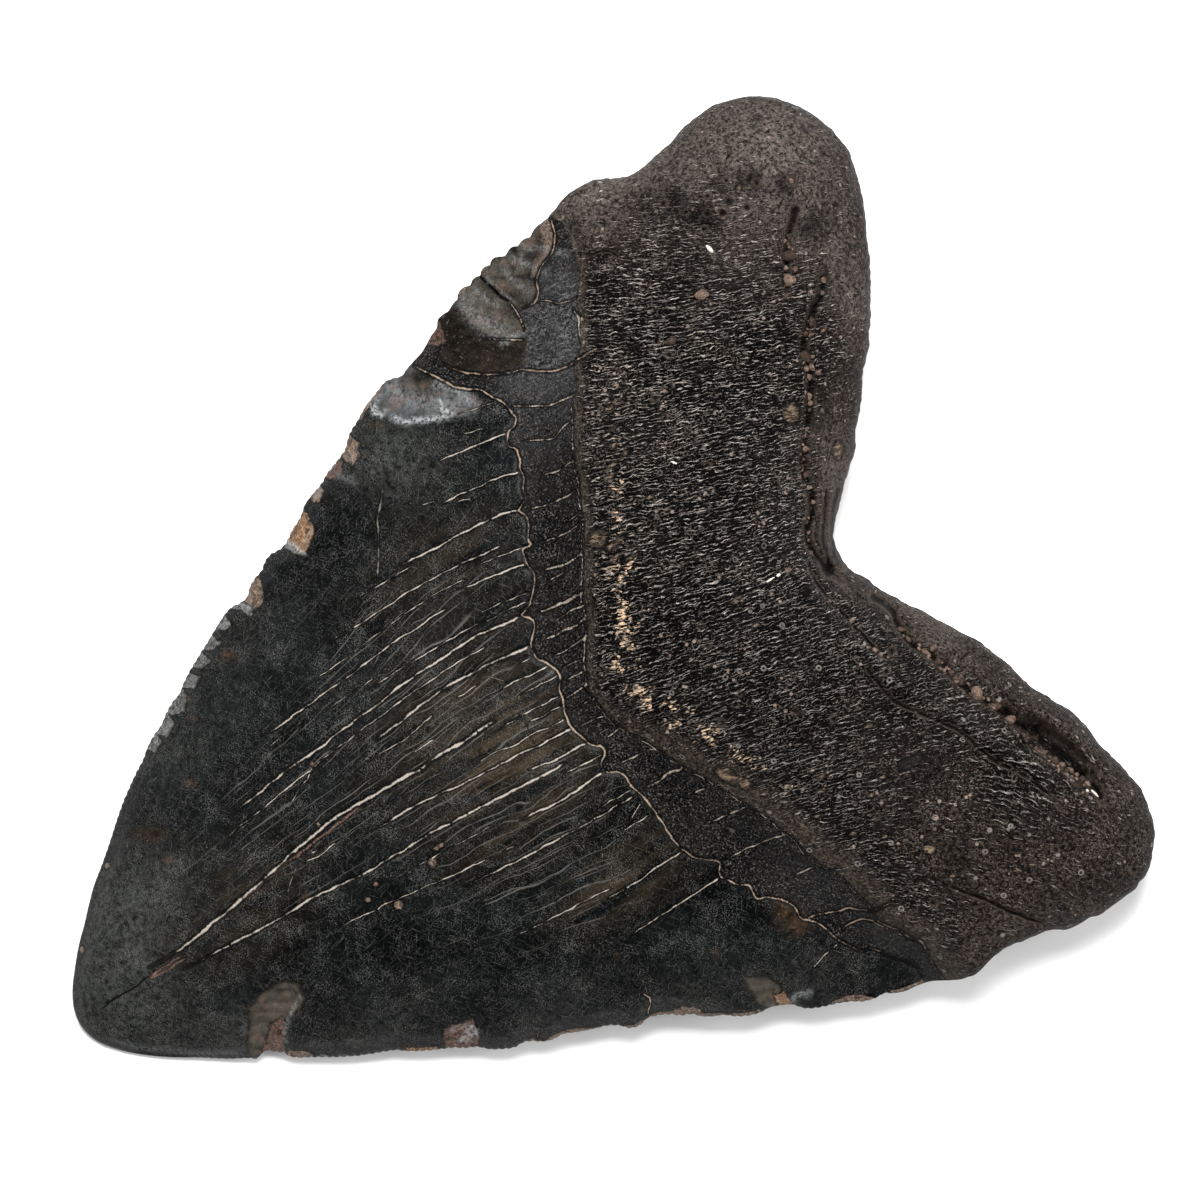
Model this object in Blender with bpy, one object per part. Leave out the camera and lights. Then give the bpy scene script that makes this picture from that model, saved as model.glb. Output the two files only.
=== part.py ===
"""A megalodon tooth lying on its labial face: triangular crown, chevron neck band, two-lobed root.

The tooth grew as one piece, so it is one closed body. +Y runs from the crown's tip to the root,
+X across the blade, +Z up out of the lingual (tongue-side) face. The origin is on the table,
under the middle of the tooth's box. Lengths named below are millimetres.
"""

import math

import bmesh
import bpy
from mathutils import Vector, kdtree
from mathutils.geometry import delaunay_2d_cdt

MM = 0.001

# Fineness of the surface, in millimetres
MESH_STEP = 2.6             # spacing of the modelled surface's points
RIM_STEP = 0.52             # spacing of the points that the distance to the rim is measured from
RIM_CLEARANCE = 1.56        # inner points keep this far from the rim
CURVE_STEPS = 6             # smooth steps between two outline points
MERGE_GAP = 1e-5            # points closer than this are one point
ROUND_OFF = 1e-6

# Driving dimensions, in millimetres
BLADE_EDGE = 1.0            # thickness of the cutting edge
LENS_POWER = 0.9            # fullness of the crown's lens section; 1 is a plain arch
ROOT_RIM = 2.6              # thickness left between the root's two rounded faces at the rim
ROOT_BASE = 12.0            # height of the root's body before its swellings
ROOT_BOSS = 9.5             # extra height of the nutrient boss in the middle of the root
LOBE_SWELL = 4.5            # extra height along each root lobe
LOBE_REACH = 13.0           # how far a lobe's swelling spreads to either side
TOP_ROUNDING = 8.5          # how far the root's lingual face takes to round over at its rim
UNDER_ROUNDING = 5.0        # the same on the labial face
ROOT_LIFT_SHARE = 0.5       # how much of the blade's edge lift is left on the root
JUNCTION_START = 2.0        # the crown's section begins to change this far before the chevron
JUNCTION_BLEND = 6.0        # length over which the crown's section turns into the root's
FOOT_DEPTH = 1.0            # how much of the labial face is worn flat where it rests

# Smooth outline of the whole tooth, seen from above: right cutting edge, root, left cutting edge
RIGHT_EDGE = [
    (0.0, -55.9), (4.3, -54.0), (7.8, -50.0), (11.0, -45.0), (14.2, -39.5), (17.0, -34.5),
    (19.3, -29.7), (22.0, -24.8), (25.0, -20.0), (26.6, -15.0), (28.6, -10.0), (30.2, -5.0),
    (33.4, 0.0), (35.2, 4.5), (38.2, 10.0), (40.2, 15.0), (41.5, 19.5),
]
RIGHT_LOBE = [
    (42.5, 23.0), (42.1, 27.0), (43.0, 32.0), (44.2, 36.5), (44.0, 40.5), (42.6, 43.8),
    (39.8, 46.0), (35.6, 46.9), (30.0, 45.8), (24.0, 44.1), (18.0, 42.0), (12.0, 39.1),
    (7.0, 36.0), (3.0, 34.2),
]
LEFT_LOBE = [
    (0.0, 33.8), (-2.5, 34.8), (-5.0, 37.2), (-8.5, 41.1), (-13.0, 45.0), (-18.5, 49.1),
    (-24.0, 52.2), (-29.0, 54.6), (-34.0, 55.8), (-38.5, 54.8), (-42.0, 52.0), (-44.0, 47.5),
    (-43.7, 42.5), (-42.7, 37.5), (-43.4, 34.2), (-44.4, 30.2),
]
LEFT_EDGE = [
    (-43.4, 26.5), (-43.1, 21.0), (-42.3, 16.5), (-40.2, 11.8), (-38.3, 6.5), (-37.8, 2.0),
    (-35.6, -2.0), (-33.4, -6.0), (-31.0, -10.5), (-29.6, -14.5), (-27.6, -19.0), (-25.5, -25.0),
    (-22.8, -30.0), (-20.1, -35.2), (-17.0, -39.8), (-13.0, -45.0), (-8.6, -50.0), (-4.2, -54.0),
]

# Sections: (distance along the tooth, value) pairs, read in between by straight lines
BLADE_CENTRE_X = -1.3
HALF_WIDTH = [
    (-56.5, 3.0), (-54.0, 5.5), (-50.0, 8.6), (-45.0, 12.2), (-40.0, 15.8), (-30.0, 21.6),
    (-20.0, 26.8), (-10.0, 30.9), (0.0, 35.4), (10.0, 39.4), (20.0, 42.8), (60.0, 44.5),
]
CROWN_THICKNESS = [
    (-56.5, 1.6), (-53.0, 3.2), (-48.0, 5.0), (-40.0, 7.4), (-30.0, 9.8), (-20.0, 11.9),
    (-10.0, 13.8), (0.0, 15.4), (10.0, 17.0), (60.0, 17.0),
]
EDGE_LIFT = [
    (-56.5, 0.4), (-45.0, 0.6), (-30.0, 1.8), (-15.0, 3.6), (0.0, 5.2), (15.0, 5.8),
    (25.0, 4.6), (35.0, 1.6), (60.0, 0.6),
]
JUNCTION_Y = [                      # where enamel meets root: a chevron, across the tooth
    (-45.0, 24.0), (-30.0, 17.0), (-20.0, 12.5), (-10.0, 6.5), (0.0, 4.0), (10.0, 6.5),
    (20.0, 10.0), (30.0, 14.5), (45.0, 21.0),
]

# The root's raised parts: nutrient boss, and the axis of each lobe
BOSS_CENTRE = (-1.0, 18.0)
BOSS_SPREAD = (25.0, 17.0)
LEFT_LOBE_AXIS = ((-13.0, 27.0), (-34.0, 44.0))
RIGHT_LOBE_AXIS = ((13.0, 25.0), (34.0, 37.0))

# Where the labial face touches the table: tip of the crown, end of each lobe (x, y, reach)
FEET = [(-0.5, -47.0, 6.0), (-33.0, 45.0, 10.0), (34.0, 38.0, 9.0)]
HOLLOW_HEIGHT = 1.1                 # the labial face stands this far off the table between them

TOOTH_COLOUR = (0.035, 0.034, 0.032, 1.0)
TOOTH_ROUGHNESS = 0.42


def read_between(pairs, at):
    """Value at a place, by straight lines between (place, value) pairs."""
    if at <= pairs[0][0]:
        return pairs[0][1]
    for (a, value_a), (b, value_b) in zip(pairs, pairs[1:]):
        if at <= b:
            return value_a + (value_b - value_a) * (at - a) / (b - a)
    return pairs[-1][1]


def smooth_step(value):
    """0 below 0, 1 above 1, an even S in between."""
    value = min(max(value, 0.0), 1.0)
    return value * value * (3.0 - 2.0 * value)


def new_collection(name):
    collection = bpy.data.collections.new(name)
    bpy.context.scene.collection.children.link(collection)
    return collection


def outline_curve(collection):
    """The outline as a closed, flat Bezier curve through the chosen points."""
    points = RIGHT_EDGE + RIGHT_LOBE + LEFT_LOBE + LEFT_EDGE
    curve = bpy.data.curves.new("outline", "CURVE")
    curve.dimensions = "2D"
    curve.resolution_u = CURVE_STEPS
    spline = curve.splines.new("BEZIER")
    spline.bezier_points.add(len(points) - 1)
    for knot, (x, y) in zip(spline.bezier_points, points):
        knot.co = (x, y, 0.0)
        knot.handle_left_type = "AUTO"
        knot.handle_right_type = "AUTO"
    spline.use_cyclic_u = True
    guide = bpy.data.objects.new("outline", curve)
    collection.objects.link(guide)
    guide.hide_render = True
    guide.display_type = "WIRE"
    return guide


def points_along(guide, step):
    """Evenly spaced points along a closed curve object."""
    bpy.context.view_layer.update()
    graph = bpy.context.evaluated_depsgraph_get()
    mesh = bpy.data.meshes.new_from_object(guide.evaluated_get(graph))
    corners = [Vector(vertex.co.xy) for vertex in mesh.vertices]
    bpy.data.meshes.remove(mesh)
    ahead = corners[1:] + corners[:1]
    lengths = [(b - a).length for a, b in zip(corners, ahead)]
    count = round(sum(lengths) / step)
    spacing = sum(lengths) / count
    points = []
    passed = 0.0
    for a, b, length in zip(corners, ahead, lengths):
        while len(points) * spacing < passed + length - ROUND_OFF and len(points) < count:
            points.append(a.lerp(b, (len(points) * spacing - passed) / length))
        passed += length
    return points


def edge_finder(points):
    """A tree that answers how far a place is from the outline."""
    tree = kdtree.KDTree(len(points))
    for index, point in enumerate(points):
        tree.insert(point.to_3d(), index)
    tree.balance()
    return tree


def lattice_inside(points, edge, step):
    """Points of a triangular lattice that fall inside the outline, clear of it."""
    row_height = step * math.sqrt(3.0) / 2.0
    low_x = min(point.x for point in points)
    high_x = max(point.x for point in points)
    low_y = min(point.y for point in points)
    high_y = max(point.y for point in points)
    inside = []
    for row in range(round((high_y - low_y) / row_height) + 1):
        y = low_y + row * row_height
        for column in range(round((high_x - low_x) / step) + 1):
            place = Vector((low_x + (column + row % 2 / 2.0) * step, y))
            distance = edge.find(place.to_3d())[2]
            if distance > RIM_CLEARANCE and is_inside(place, points):
                inside.append(place)
    return inside


def is_inside(place, points):
    """Whether a place lies inside a closed outline, by counting crossings."""
    crossings = 0
    for a, b in zip(points, points[1:] + points[:1]):
        if (a.y > place.y) != (b.y > place.y):
            crossings += place.x < a.x + (b.x - a.x) * (place.y - a.y) / (b.y - a.y)
    return crossings % 2 == 1


def distance_to_axis(x, y, axis):
    """How far a place is from the straight line between an axis's two ends."""
    start, end = Vector(axis[0]), Vector(axis[1])
    along = end - start
    place = Vector((x, y)) - start
    part = min(max(place.dot(along) / along.length_squared, 0.0), 1.0)
    return (place - part * along).length


def rounding(distance, reach):
    """Quarter-circle rise from 0 at the rim to 1 at the reach."""
    return math.sqrt(1.0 - (1.0 - min(distance / reach, 1.0)) ** 2)


def root_share(x, y):
    """0 on the crown, 1 on the root."""
    start = read_between(JUNCTION_Y, x) - JUNCTION_START
    return smooth_step((y - start) / JUNCTION_BLEND)


def across(x, y):
    """Place across the blade: 0 on its middle line, 1 at either cutting edge."""
    return min(abs(x - BLADE_CENTRE_X) / read_between(HALF_WIDTH, y), 1.0)


def under_height(x, y, rim):
    """Height of the labial face, which rests on the table at its feet."""
    hollow = HOLLOW_HEIGHT
    for foot_x, foot_y, reach in FEET:
        gap = math.hypot(x - foot_x, y - foot_y) / reach
        hollow -= (HOLLOW_HEIGHT + FOOT_DEPTH) * math.exp(-gap * gap)
    lift = read_between(EDGE_LIFT, y) * across(x, y) ** 2
    curl = UNDER_ROUNDING * (1.0 - rounding(rim, UNDER_ROUNDING))
    blade = hollow + lift
    root = hollow + ROOT_LIFT_SHARE * lift + curl
    return max(0.0, blade + (root - blade) * root_share(x, y))


def over_height(x, y, rim):
    """Height of the lingual face."""
    under = under_height(x, y, rim)
    lens = (1.0 - across(x, y) ** 2) ** LENS_POWER
    blade = under + BLADE_EDGE + read_between(CROWN_THICKNESS, y) * lens
    boss_x = (x - BOSS_CENTRE[0]) / BOSS_SPREAD[0]
    boss_y = (y - BOSS_CENTRE[1]) / BOSS_SPREAD[1]
    body = ROOT_BASE + ROOT_BOSS * math.exp(-boss_x * boss_x - boss_y * boss_y)
    for axis in (LEFT_LOBE_AXIS, RIGHT_LOBE_AXIS):
        gap = distance_to_axis(x, y, axis) / LOBE_REACH
        body += LOBE_SWELL * math.exp(-gap * gap)
    rim_top = under_height(x, y, 0.0) + ROOT_RIM
    root = rim_top + (body - rim_top) * rounding(rim, TOP_ROUNDING)
    return blade + (root - blade) * root_share(x, y)


def tooth_sheet(outline, lattice):
    """A flat sheet of even triangles that fills the outline."""
    count = len(outline)
    ring = [(index, (index + 1) % count) for index in range(count)]
    found = delaunay_2d_cdt(outline + lattice, ring, [], 1, MERGE_GAP)
    mesh = bpy.data.meshes.new("tooth")
    mesh.from_pydata([point.to_3d() for point in found[0]], [], found[2])
    return mesh


def shape_tooth(mesh, edge):
    """Thickens the flat sheet downwards, then gives each point its height."""
    body = bmesh.new()
    body.from_mesh(mesh)
    bmesh.ops.recalc_face_normals(body, faces=body.faces)
    if sum(face.normal.z for face in body.faces) < 0.0:
        bmesh.ops.reverse_faces(body, faces=body.faces)
    sheet = bmesh.ops.extrude_face_region(body, geom=body.faces[:], use_keep_orig=True)
    lower = {item for item in sheet["geom"] if isinstance(item, bmesh.types.BMVert)}
    for vertex in body.verts:
        x, y = vertex.co.xy
        rim = edge.find((x, y, 0.0))[2]
        height = under_height(x, y, rim) if vertex in lower else over_height(x, y, rim)
        vertex.co = (x * MM, y * MM, height * MM)
    bmesh.ops.recalc_face_normals(body, faces=body.faces)
    bmesh.ops.triangulate(body, faces=body.faces)
    print("tooth:", len(body.verts), "points and", len(body.faces), "triangles")
    body.to_mesh(mesh)
    body.free()


def tooth_material():
    material = bpy.data.materials.new("fossil_tooth")
    material.use_nodes = True
    shader = material.node_tree.nodes["Principled BSDF"]
    shader.inputs["Base Color"].default_value = TOOTH_COLOUR
    shader.inputs["Roughness"].default_value = TOOTH_ROUGHNESS
    shader.inputs["Metallic"].default_value = 0.0
    return material


def make_tooth():
    parts = new_collection("megalodon_tooth")
    guides = new_collection("guides")
    guide = outline_curve(guides)
    outline = points_along(guide, MESH_STEP)
    edge = edge_finder(points_along(guide, RIM_STEP))
    mesh = tooth_sheet(outline, lattice_inside(outline, edge, MESH_STEP))
    shape_tooth(mesh, edge)
    mesh.materials.append(tooth_material())
    mesh.shade_smooth()
    tooth = bpy.data.objects.new("tooth", mesh)
    parts.objects.link(tooth)


for leftover in list(bpy.data.objects):
    bpy.data.objects.remove(leftover)
make_tooth()
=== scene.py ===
# %% [markdown]
# # A fossil megalodon tooth
# This lesson builds one tooth in Blender: a black enamel crown with fine serrations, a dark
# leathery band round its neck and a thick two-lobed root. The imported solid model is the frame
# that everything is fitted to. It is loaded first and never moved.

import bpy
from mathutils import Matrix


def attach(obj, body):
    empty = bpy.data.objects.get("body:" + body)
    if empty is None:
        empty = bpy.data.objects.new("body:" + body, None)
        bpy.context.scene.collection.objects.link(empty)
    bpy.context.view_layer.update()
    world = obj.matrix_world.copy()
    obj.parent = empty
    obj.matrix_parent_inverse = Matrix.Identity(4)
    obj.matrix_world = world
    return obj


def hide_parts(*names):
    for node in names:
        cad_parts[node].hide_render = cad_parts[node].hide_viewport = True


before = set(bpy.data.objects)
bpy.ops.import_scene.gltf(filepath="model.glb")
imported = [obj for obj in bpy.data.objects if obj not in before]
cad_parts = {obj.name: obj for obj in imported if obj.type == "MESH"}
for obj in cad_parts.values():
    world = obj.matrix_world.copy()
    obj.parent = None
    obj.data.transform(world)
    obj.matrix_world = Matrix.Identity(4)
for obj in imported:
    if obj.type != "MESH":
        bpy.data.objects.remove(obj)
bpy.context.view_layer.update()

import math
import random

import bmesh
import bpy
import numpy as np
from mathutils import Vector, kdtree, noise
from mathutils.geometry import delaunay_2d_cdt

MM = 0.001               # lengths below are millimetres, turned into metres at the end

# %% [markdown]
# ## The view
# The tooth is looked at from straight above, turned so that its tip points to the lower left.
# A long lens a good way off keeps the outline true. The camera is made first, because the
# fineness of the surface only makes sense once we know how large it is in the picture.

# %% Camera
PICTURE_WIDTH = 120.0            # width of what the camera sees at the table, mm
VIEW_CENTRE = (-8.5, 11.2)       # the point on the table in the middle of the picture
VIEW_TURN = math.radians(58.0)   # how far the picture is turned about the upright axis
CAMERA_HEIGHT = 620.0
SENSOR_WIDTH = 36.0
BLADE_LEVEL = 6.0                # height of the tooth's outline above the table


def make_camera():
    lens = bpy.data.cameras.new("view_from_above")
    lens.sensor_width = SENSOR_WIDTH
    lens.lens = SENSOR_WIDTH * (CAMERA_HEIGHT - BLADE_LEVEL) / PICTURE_WIDTH
    lens.clip_start = 0.01
    camera = bpy.data.objects.new("view_from_above", lens)
    camera.location = (VIEW_CENTRE[0] * MM, VIEW_CENTRE[1] * MM, CAMERA_HEIGHT * MM)
    camera.rotation_euler = (0.0, 0.0, VIEW_TURN)
    bpy.context.scene.collection.objects.link(camera)
    bpy.context.scene.camera = camera
    print("lens of", round(lens.lens), "mm at", CAMERA_HEIGHT, "mm")


make_camera()

# %% [markdown]
# ## Table and light
# A black, half-glossy thing needs large soft lights and a bright table, or its edges vanish.
# The main lamp hangs high, a little towards the top of the picture, so that the shadow is a
# short dark line below the blade. The lamps at the left and the right only open up the shadows.

# %% Table, lamps and sky
TABLE_SIZE = 1600.0
TABLE_TOP = -0.02            # a hair below the tooth
TABLE_COLOUR = (0.92, 0.92, 0.92, 1.0)
SKY_COLOUR = (1.0, 1.0, 1.0, 1.0)
SKY_STRENGTH = 0.2
PICTURE_UP = (-math.sin(VIEW_TURN), math.cos(VIEW_TURN))
PICTURE_RIGHT = (math.cos(VIEW_TURN), math.sin(VIEW_TURN))


def make_table():
    bpy.ops.mesh.primitive_plane_add(size=TABLE_SIZE * MM, location=(0.0, 0.0, TABLE_TOP * MM))
    table = bpy.context.object
    table.name = "table"
    paint = bpy.data.materials.new("table_white")
    paint.use_nodes = True
    shader = paint.node_tree.nodes["Principled BSDF"]
    shader.inputs["Base Color"].default_value = TABLE_COLOUR
    shader.inputs["Roughness"].default_value = 0.9
    shader.inputs["Specular IOR Level"].default_value = 0.1
    table.data.materials.append(paint)


def make_lamp(name, along_up, along_right, height, size, power):
    """A square lamp that looks at the tooth; its place is given in the picture's directions."""
    lamp_data = bpy.data.lights.new(name, "AREA")
    lamp_data.shape = "SQUARE"
    lamp_data.size = size * MM
    lamp_data.energy = power
    lamp = bpy.data.objects.new(name, lamp_data)
    x = VIEW_CENTRE[0] + along_up * PICTURE_UP[0] + along_right * PICTURE_RIGHT[0]
    y = VIEW_CENTRE[1] + along_up * PICTURE_UP[1] + along_right * PICTURE_RIGHT[1]
    lamp.location = (x * MM, y * MM, height * MM)
    aim = Vector((0.0, 0.0, 0.0)) - lamp.location
    lamp.rotation_euler = aim.to_track_quat("-Z", "Y").to_euler()
    bpy.context.scene.collection.objects.link(lamp)


def make_sky():
    sky = bpy.data.worlds.new("soft_sky")
    sky.use_nodes = True
    background = sky.node_tree.nodes["Background"]
    background.inputs["Color"].default_value = SKY_COLOUR
    background.inputs["Strength"].default_value = SKY_STRENGTH
    bpy.context.scene.world = sky


make_table()
make_lamp("key_lamp", 250.0, -20.0, 640.0, 250.0, 8.5)
make_lamp("left_lamp", -80.0, -480.0, 480.0, 420.0, 1.0)
make_lamp("right_lamp", 0.0, 500.0, 480.0, 420.0, 3.2)
make_sky()
bpy.context.scene.view_settings.view_transform = "Standard"
print("table, three lamps and a sky of", SKY_STRENGTH)

# %% [markdown]
# ## The outline
# Seen from above, the tooth is a plan shape. We chose its points a millimetre or two
# apart where the cutting edge is chipped and further apart where it runs smoothly. They are
# read as one smooth closed curve, anticlockwise from the tip.

# %% Outline of the chipped blade and the worn root
RIGHT_EDGE = [
    (0, -55.9), (2.2, -55.4), (4.2, -54), (6, -52.1), (7.6, -50), (9.4, -47.2), (10.9, -45),
    (12, -43.1), (12.35, -42.6), (12.2, -41.9), (12.15, -41.3), (12.8, -40.5), (13.3, -39.9),
    (13.9, -39.6), (14.4, -39), (15, -38), (16.8, -35), (17.7, -33.2), (18.6, -31), (19, -30.1),
    (19.6, -29.3), (20.4, -28), (21.3, -26.2), (21.8, -25.1), (22.4, -24.2), (23, -23), (23.9, -22),
    (24.5, -21), (25, -19.9), (25.1, -18.6), (25.4, -18), (26, -17.1), (26.35, -16), (26.4, -15),
    (26.9, -13.8), (27.6, -12), (28, -10.8), (28.6, -9.8), (29.4, -9), (29.7, -8), (29.5, -6.9),
    (29.8, -5.9), (30.3, -4.9), (31.1, -3.8), (31.5, -2.9), (32.1, -2.3), (32.7, -1.4),
    (33.2, -0.3), (34, 0.7), (34.6, 1.8), (34.95, 3), (35, 4), (35.4, 5.1), (36, 6.1), (36.9, 6.9),
    (37.5, 7.9), (37.95, 9.1), (38.3, 10.1), (38.8, 11.2), (39.5, 12.4), (39.8, 13.6),
    (39.85, 14.5), (40.3, 15.2), (40.75, 16.3), (40.95, 17.6), (41.2, 18.9),
]
RIGHT_LOBE = [
    (41.8, 20.2), (42.3, 21.4), (42.6, 22.8), (42.5, 24), (42.15, 25.6), (42.05, 27), (42.3, 28.6),
    (42.6, 30.4), (43.1, 32), (43.8, 33.4), (44.1, 34.6), (44.1, 35.9), (44.3, 37.2), (44.3, 38.8),
    (44.1, 40.4), (43.6, 42), (42.9, 43.4), (41.6, 44.8), (40.1, 45.9), (38.3, 46.4), (36.9, 46.8),
    (35.6, 46.9), (34.3, 46.6), (32.5, 46.3), (30.6, 45.8), (28.5, 45.6), (26.6, 45.2),
    (24.4, 44.3), (22.6, 43.4), (20.3, 42.6), (18.4, 42.2), (16.7, 41.5), (14.9, 40.8),
    (13.2, 39.8), (11, 38.6), (9.5, 37.8), (8.2, 36.8), (6.6, 35.9), (5, 35.1), (3.6, 34.6),
    (2.4, 33.9),
]
LEFT_LOBE = [
    (0.8, 33.7), (-0.6, 33.9), (-1.9, 34.4), (-3.2, 35.5), (-4.6, 37), (-6.3, 38.9), (-7.7, 40.4),
    (-8.9, 41.3), (-10.2, 42.5), (-12, 44), (-13.6, 45.1), (-15, 46.4), (-16.8, 47.9),
    (-18.8, 49.3), (-20.6, 50.4), (-22.4, 51.5), (-24.8, 52.7), (-27.4, 54), (-30, 55), (-32, 55.5),
    (-34, 55.8), (-36, 55.5), (-38, 54.9), (-40.1, 53.7), (-42, 52), (-43.1, 50.4), (-43.8, 48.6),
    (-44.15, 47), (-44.2, 45.4), (-44, 43.8), (-43.6, 42.3), (-43.25, 40.8), (-43, 39.2),
    (-42.7, 37.7), (-42.6, 36.5), (-42.9, 35.2), (-43.6, 34), (-44.1, 32.8), (-44.35, 31.4),
    (-44.35, 30.1), (-44.05, 28.9),
]
LEFT_EDGE = [
    (-43.6, 27.8), (-43.4, 26.9), (-43.45, 25.9), (-43.1, 24.8), (-43, 23.5), (-43.05, 22.4),
    (-42.95, 21.4), (-43.1, 20.3), (-42.9, 19.2), (-42.6, 18.2), (-42.3, 17), (-42.2, 16),
    (-41.85, 15.1), (-41.3, 14.3), (-41.05, 13.4), (-40.8, 12.3), (-40.2, 11.8), (-39.8, 10.9),
    (-39.3, 10), (-38.85, 9.1), (-38.6, 8.1), (-38.35, 7.2), (-38, 6.2), (-38.25, 5.4),
    (-38.4, 4.6), (-38.15, 3.7), (-37.8, 2.8), (-37.5, 1.9), (-37, 0.9), (-36.5, 0), (-36.1, -0.9),
    (-35.5, -1.7), (-34.9, -2.3), (-34.45, -3.2), (-34.1, -4.2), (-33.75, -5.2), (-33.2, -6.2),
    (-32.9, -7.1), (-32.6, -8), (-32.2, -8.9), (-31.6, -9.6), (-31.2, -10.3), (-30.85, -11.1),
    (-30.3, -12), (-29.9, -12.8), (-29.85, -13.6), (-29.9, -14.3), (-29.6, -15.2), (-29, -16),
    (-28.7, -17), (-28.2, -17.9), (-27.5, -18.7), (-27.4, -19.6), (-27.5, -20.5), (-27.2, -21.6),
    (-26.6, -22.9), (-25.9, -24.3), (-25.2, -25.8), (-24.5, -27.2), (-23.7, -28.6), (-22.9, -29.7),
    (-22.6, -30.7), (-22, -31.8), (-21.2, -33), (-20.8, -34), (-20.1, -35.2), (-19.2, -36.4),
    (-18.7, -37.3), (-17.6, -39), (-16.4, -40.7), (-15, -42.4), (-13.5, -44.2), (-12.1, -46),
    (-11.2, -47.2), (-9.8, -48.7), (-8.4, -50.1), (-7, -51.6), (-5, -53.4), (-3.2, -54.8),
    (-1.6, -55.6),
]
OUTLINE = RIGHT_EDGE + RIGHT_LOBE + LEFT_LOBE + LEFT_EDGE


def along_route(route, step, closed=False):
    """Even points, one step apart, on a smooth curve through a route's own points."""
    knots = np.array(route, float)
    if closed:
        knots = np.vstack([knots[-1:], knots, knots[:2]])
    gaps = np.linalg.norm(np.diff(knots, axis=0), axis=1)
    place = np.concatenate([[0.0], np.cumsum(gaps)])
    if len(knots) > 2:
        slope = np.gradient(knots, place, axis=0)
    else:
        slope = np.broadcast_to(np.diff(knots, axis=0) / gaps[0], knots.shape)
    first, last = (place[1], place[-2]) if closed else (place[0], place[-1])
    count = max(2, round((last - first) / step) + 1)
    at = np.linspace(first, last, count)[:-1] if closed else np.linspace(first, last, count)
    piece = np.clip(np.searchsorted(place, at, side="right") - 1, 0, len(gaps) - 1)
    width = gaps[piece][:, None]
    part = ((at - place[piece]) / gaps[piece])[:, None]
    start = (knots[piece] * (1 + 2 * part) * (1 - part) ** 2
             + slope[piece] * width * part * (1 - part) ** 2)
    end = (knots[piece + 1] * part ** 2 * (3 - 2 * part)
           + slope[piece + 1] * width * part ** 2 * (part - 1))
    return start + end


RIM_STEP = 0.12              # how closely the outline is read
plain_rim = along_route(OUTLINE, RIM_STEP, closed=True)
print("outline of", len(OUTLINE), "points, read at", len(plain_rim))

# %% [markdown]
# ## Serrations
# The two cutting edges of the crown carry a fine saw: a small rounded bump every three quarters
# of a millimetre. We move the smooth outline inwards between the bumps. The saw is worn away
# at the tip and stops where the root begins.

# %% Saw the cutting edges
SERRATION_PITCH = 0.73
SERRATION_DEPTH = 0.11
RIGHT_SAW_END = 17.0         # how far up each edge the saw goes, as y
LEFT_SAW_END = 9.0
SAW_FADE = 4.0               # the saw dies out over this length
SCALLOP_PITCH = 1.6          # wider, shallow bites where the left edge has flaked away
SCALLOP_DEPTH = 0.28


def inward_of(points):
    """Unit directions that point into a closed anticlockwise outline."""
    ahead = np.roll(points, -1, axis=0) - np.roll(points, 1, axis=0)
    ahead /= np.linalg.norm(ahead, axis=1)[:, None]
    return np.column_stack([-ahead[:, 1], ahead[:, 0]])


def smooth(value):
    """0 below 0, 1 above 1, an even S in between."""
    value = np.clip(value, 0.0, 1.0)
    return value * value * (3.0 - 2.0 * value)


def noise_at(points, scale, seed):
    """Smooth noise, about -1 to 1, at each point; a bigger scale gives finer noise."""
    flat = np.zeros((len(points), 3))
    flat[:, :points.shape[1]] = points * scale
    flat[:, 2] += seed
    return np.array([noise.noise(place) for place in flat.tolist()])


rim_inward = inward_of(plain_rim)
rim_steps = np.linalg.norm(np.roll(plain_rim, -1, axis=0) - plain_rim, axis=1)
rim_place = np.concatenate([[0.0], np.cumsum(rim_steps)[:-1]])
saw_end = np.where(plain_rim[:, 0] > 0.0, RIGHT_SAW_END, LEFT_SAW_END)
saw_share = smooth((saw_end - plain_rim[:, 1]) / SAW_FADE)
saw_wear = np.clip(0.75 + 0.9 * noise_at(plain_rim, 0.35, 3.0), 0.25, 1.0)
saw_wear *= smooth((plain_rim[:, 1] + 52.0) / 12.0)            # rubbed smooth at the tip
saw_wave = np.abs(np.sin(math.pi * rim_place / SERRATION_PITCH))
saw_cut = SERRATION_DEPTH * saw_share * saw_wear * (1.0 - saw_wave)
scallop_share = smooth((plain_rim[:, 1] - 12.0) / 3.0) * smooth((27.0 - plain_rim[:, 1]) / 2.0)
scallop_wave = np.abs(np.sin(math.pi * rim_place / SCALLOP_PITCH + noise_at(plain_rim, 0.5, 8.0)))
saw_cut += SCALLOP_DEPTH * scallop_share * (plain_rim[:, 0] < 0.0) * (1.0 - scallop_wave)
rim = plain_rim + saw_cut[:, None] * rim_inward
print("rim is", round(rim_steps.sum(), 1), "mm long, with",
      round((rim_steps * (saw_share > 0.5)).sum() / SERRATION_PITCH), "serrations")

# %% [markdown]
# ## The lines that cross the tooth
# Two lines divide the face: the crack where the enamel stops, and the step where the root
# begins. Between them lies the neck band. Both have to be real edges of the mesh, because the
# material changes there. They run a little past the outline at either end.

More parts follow.
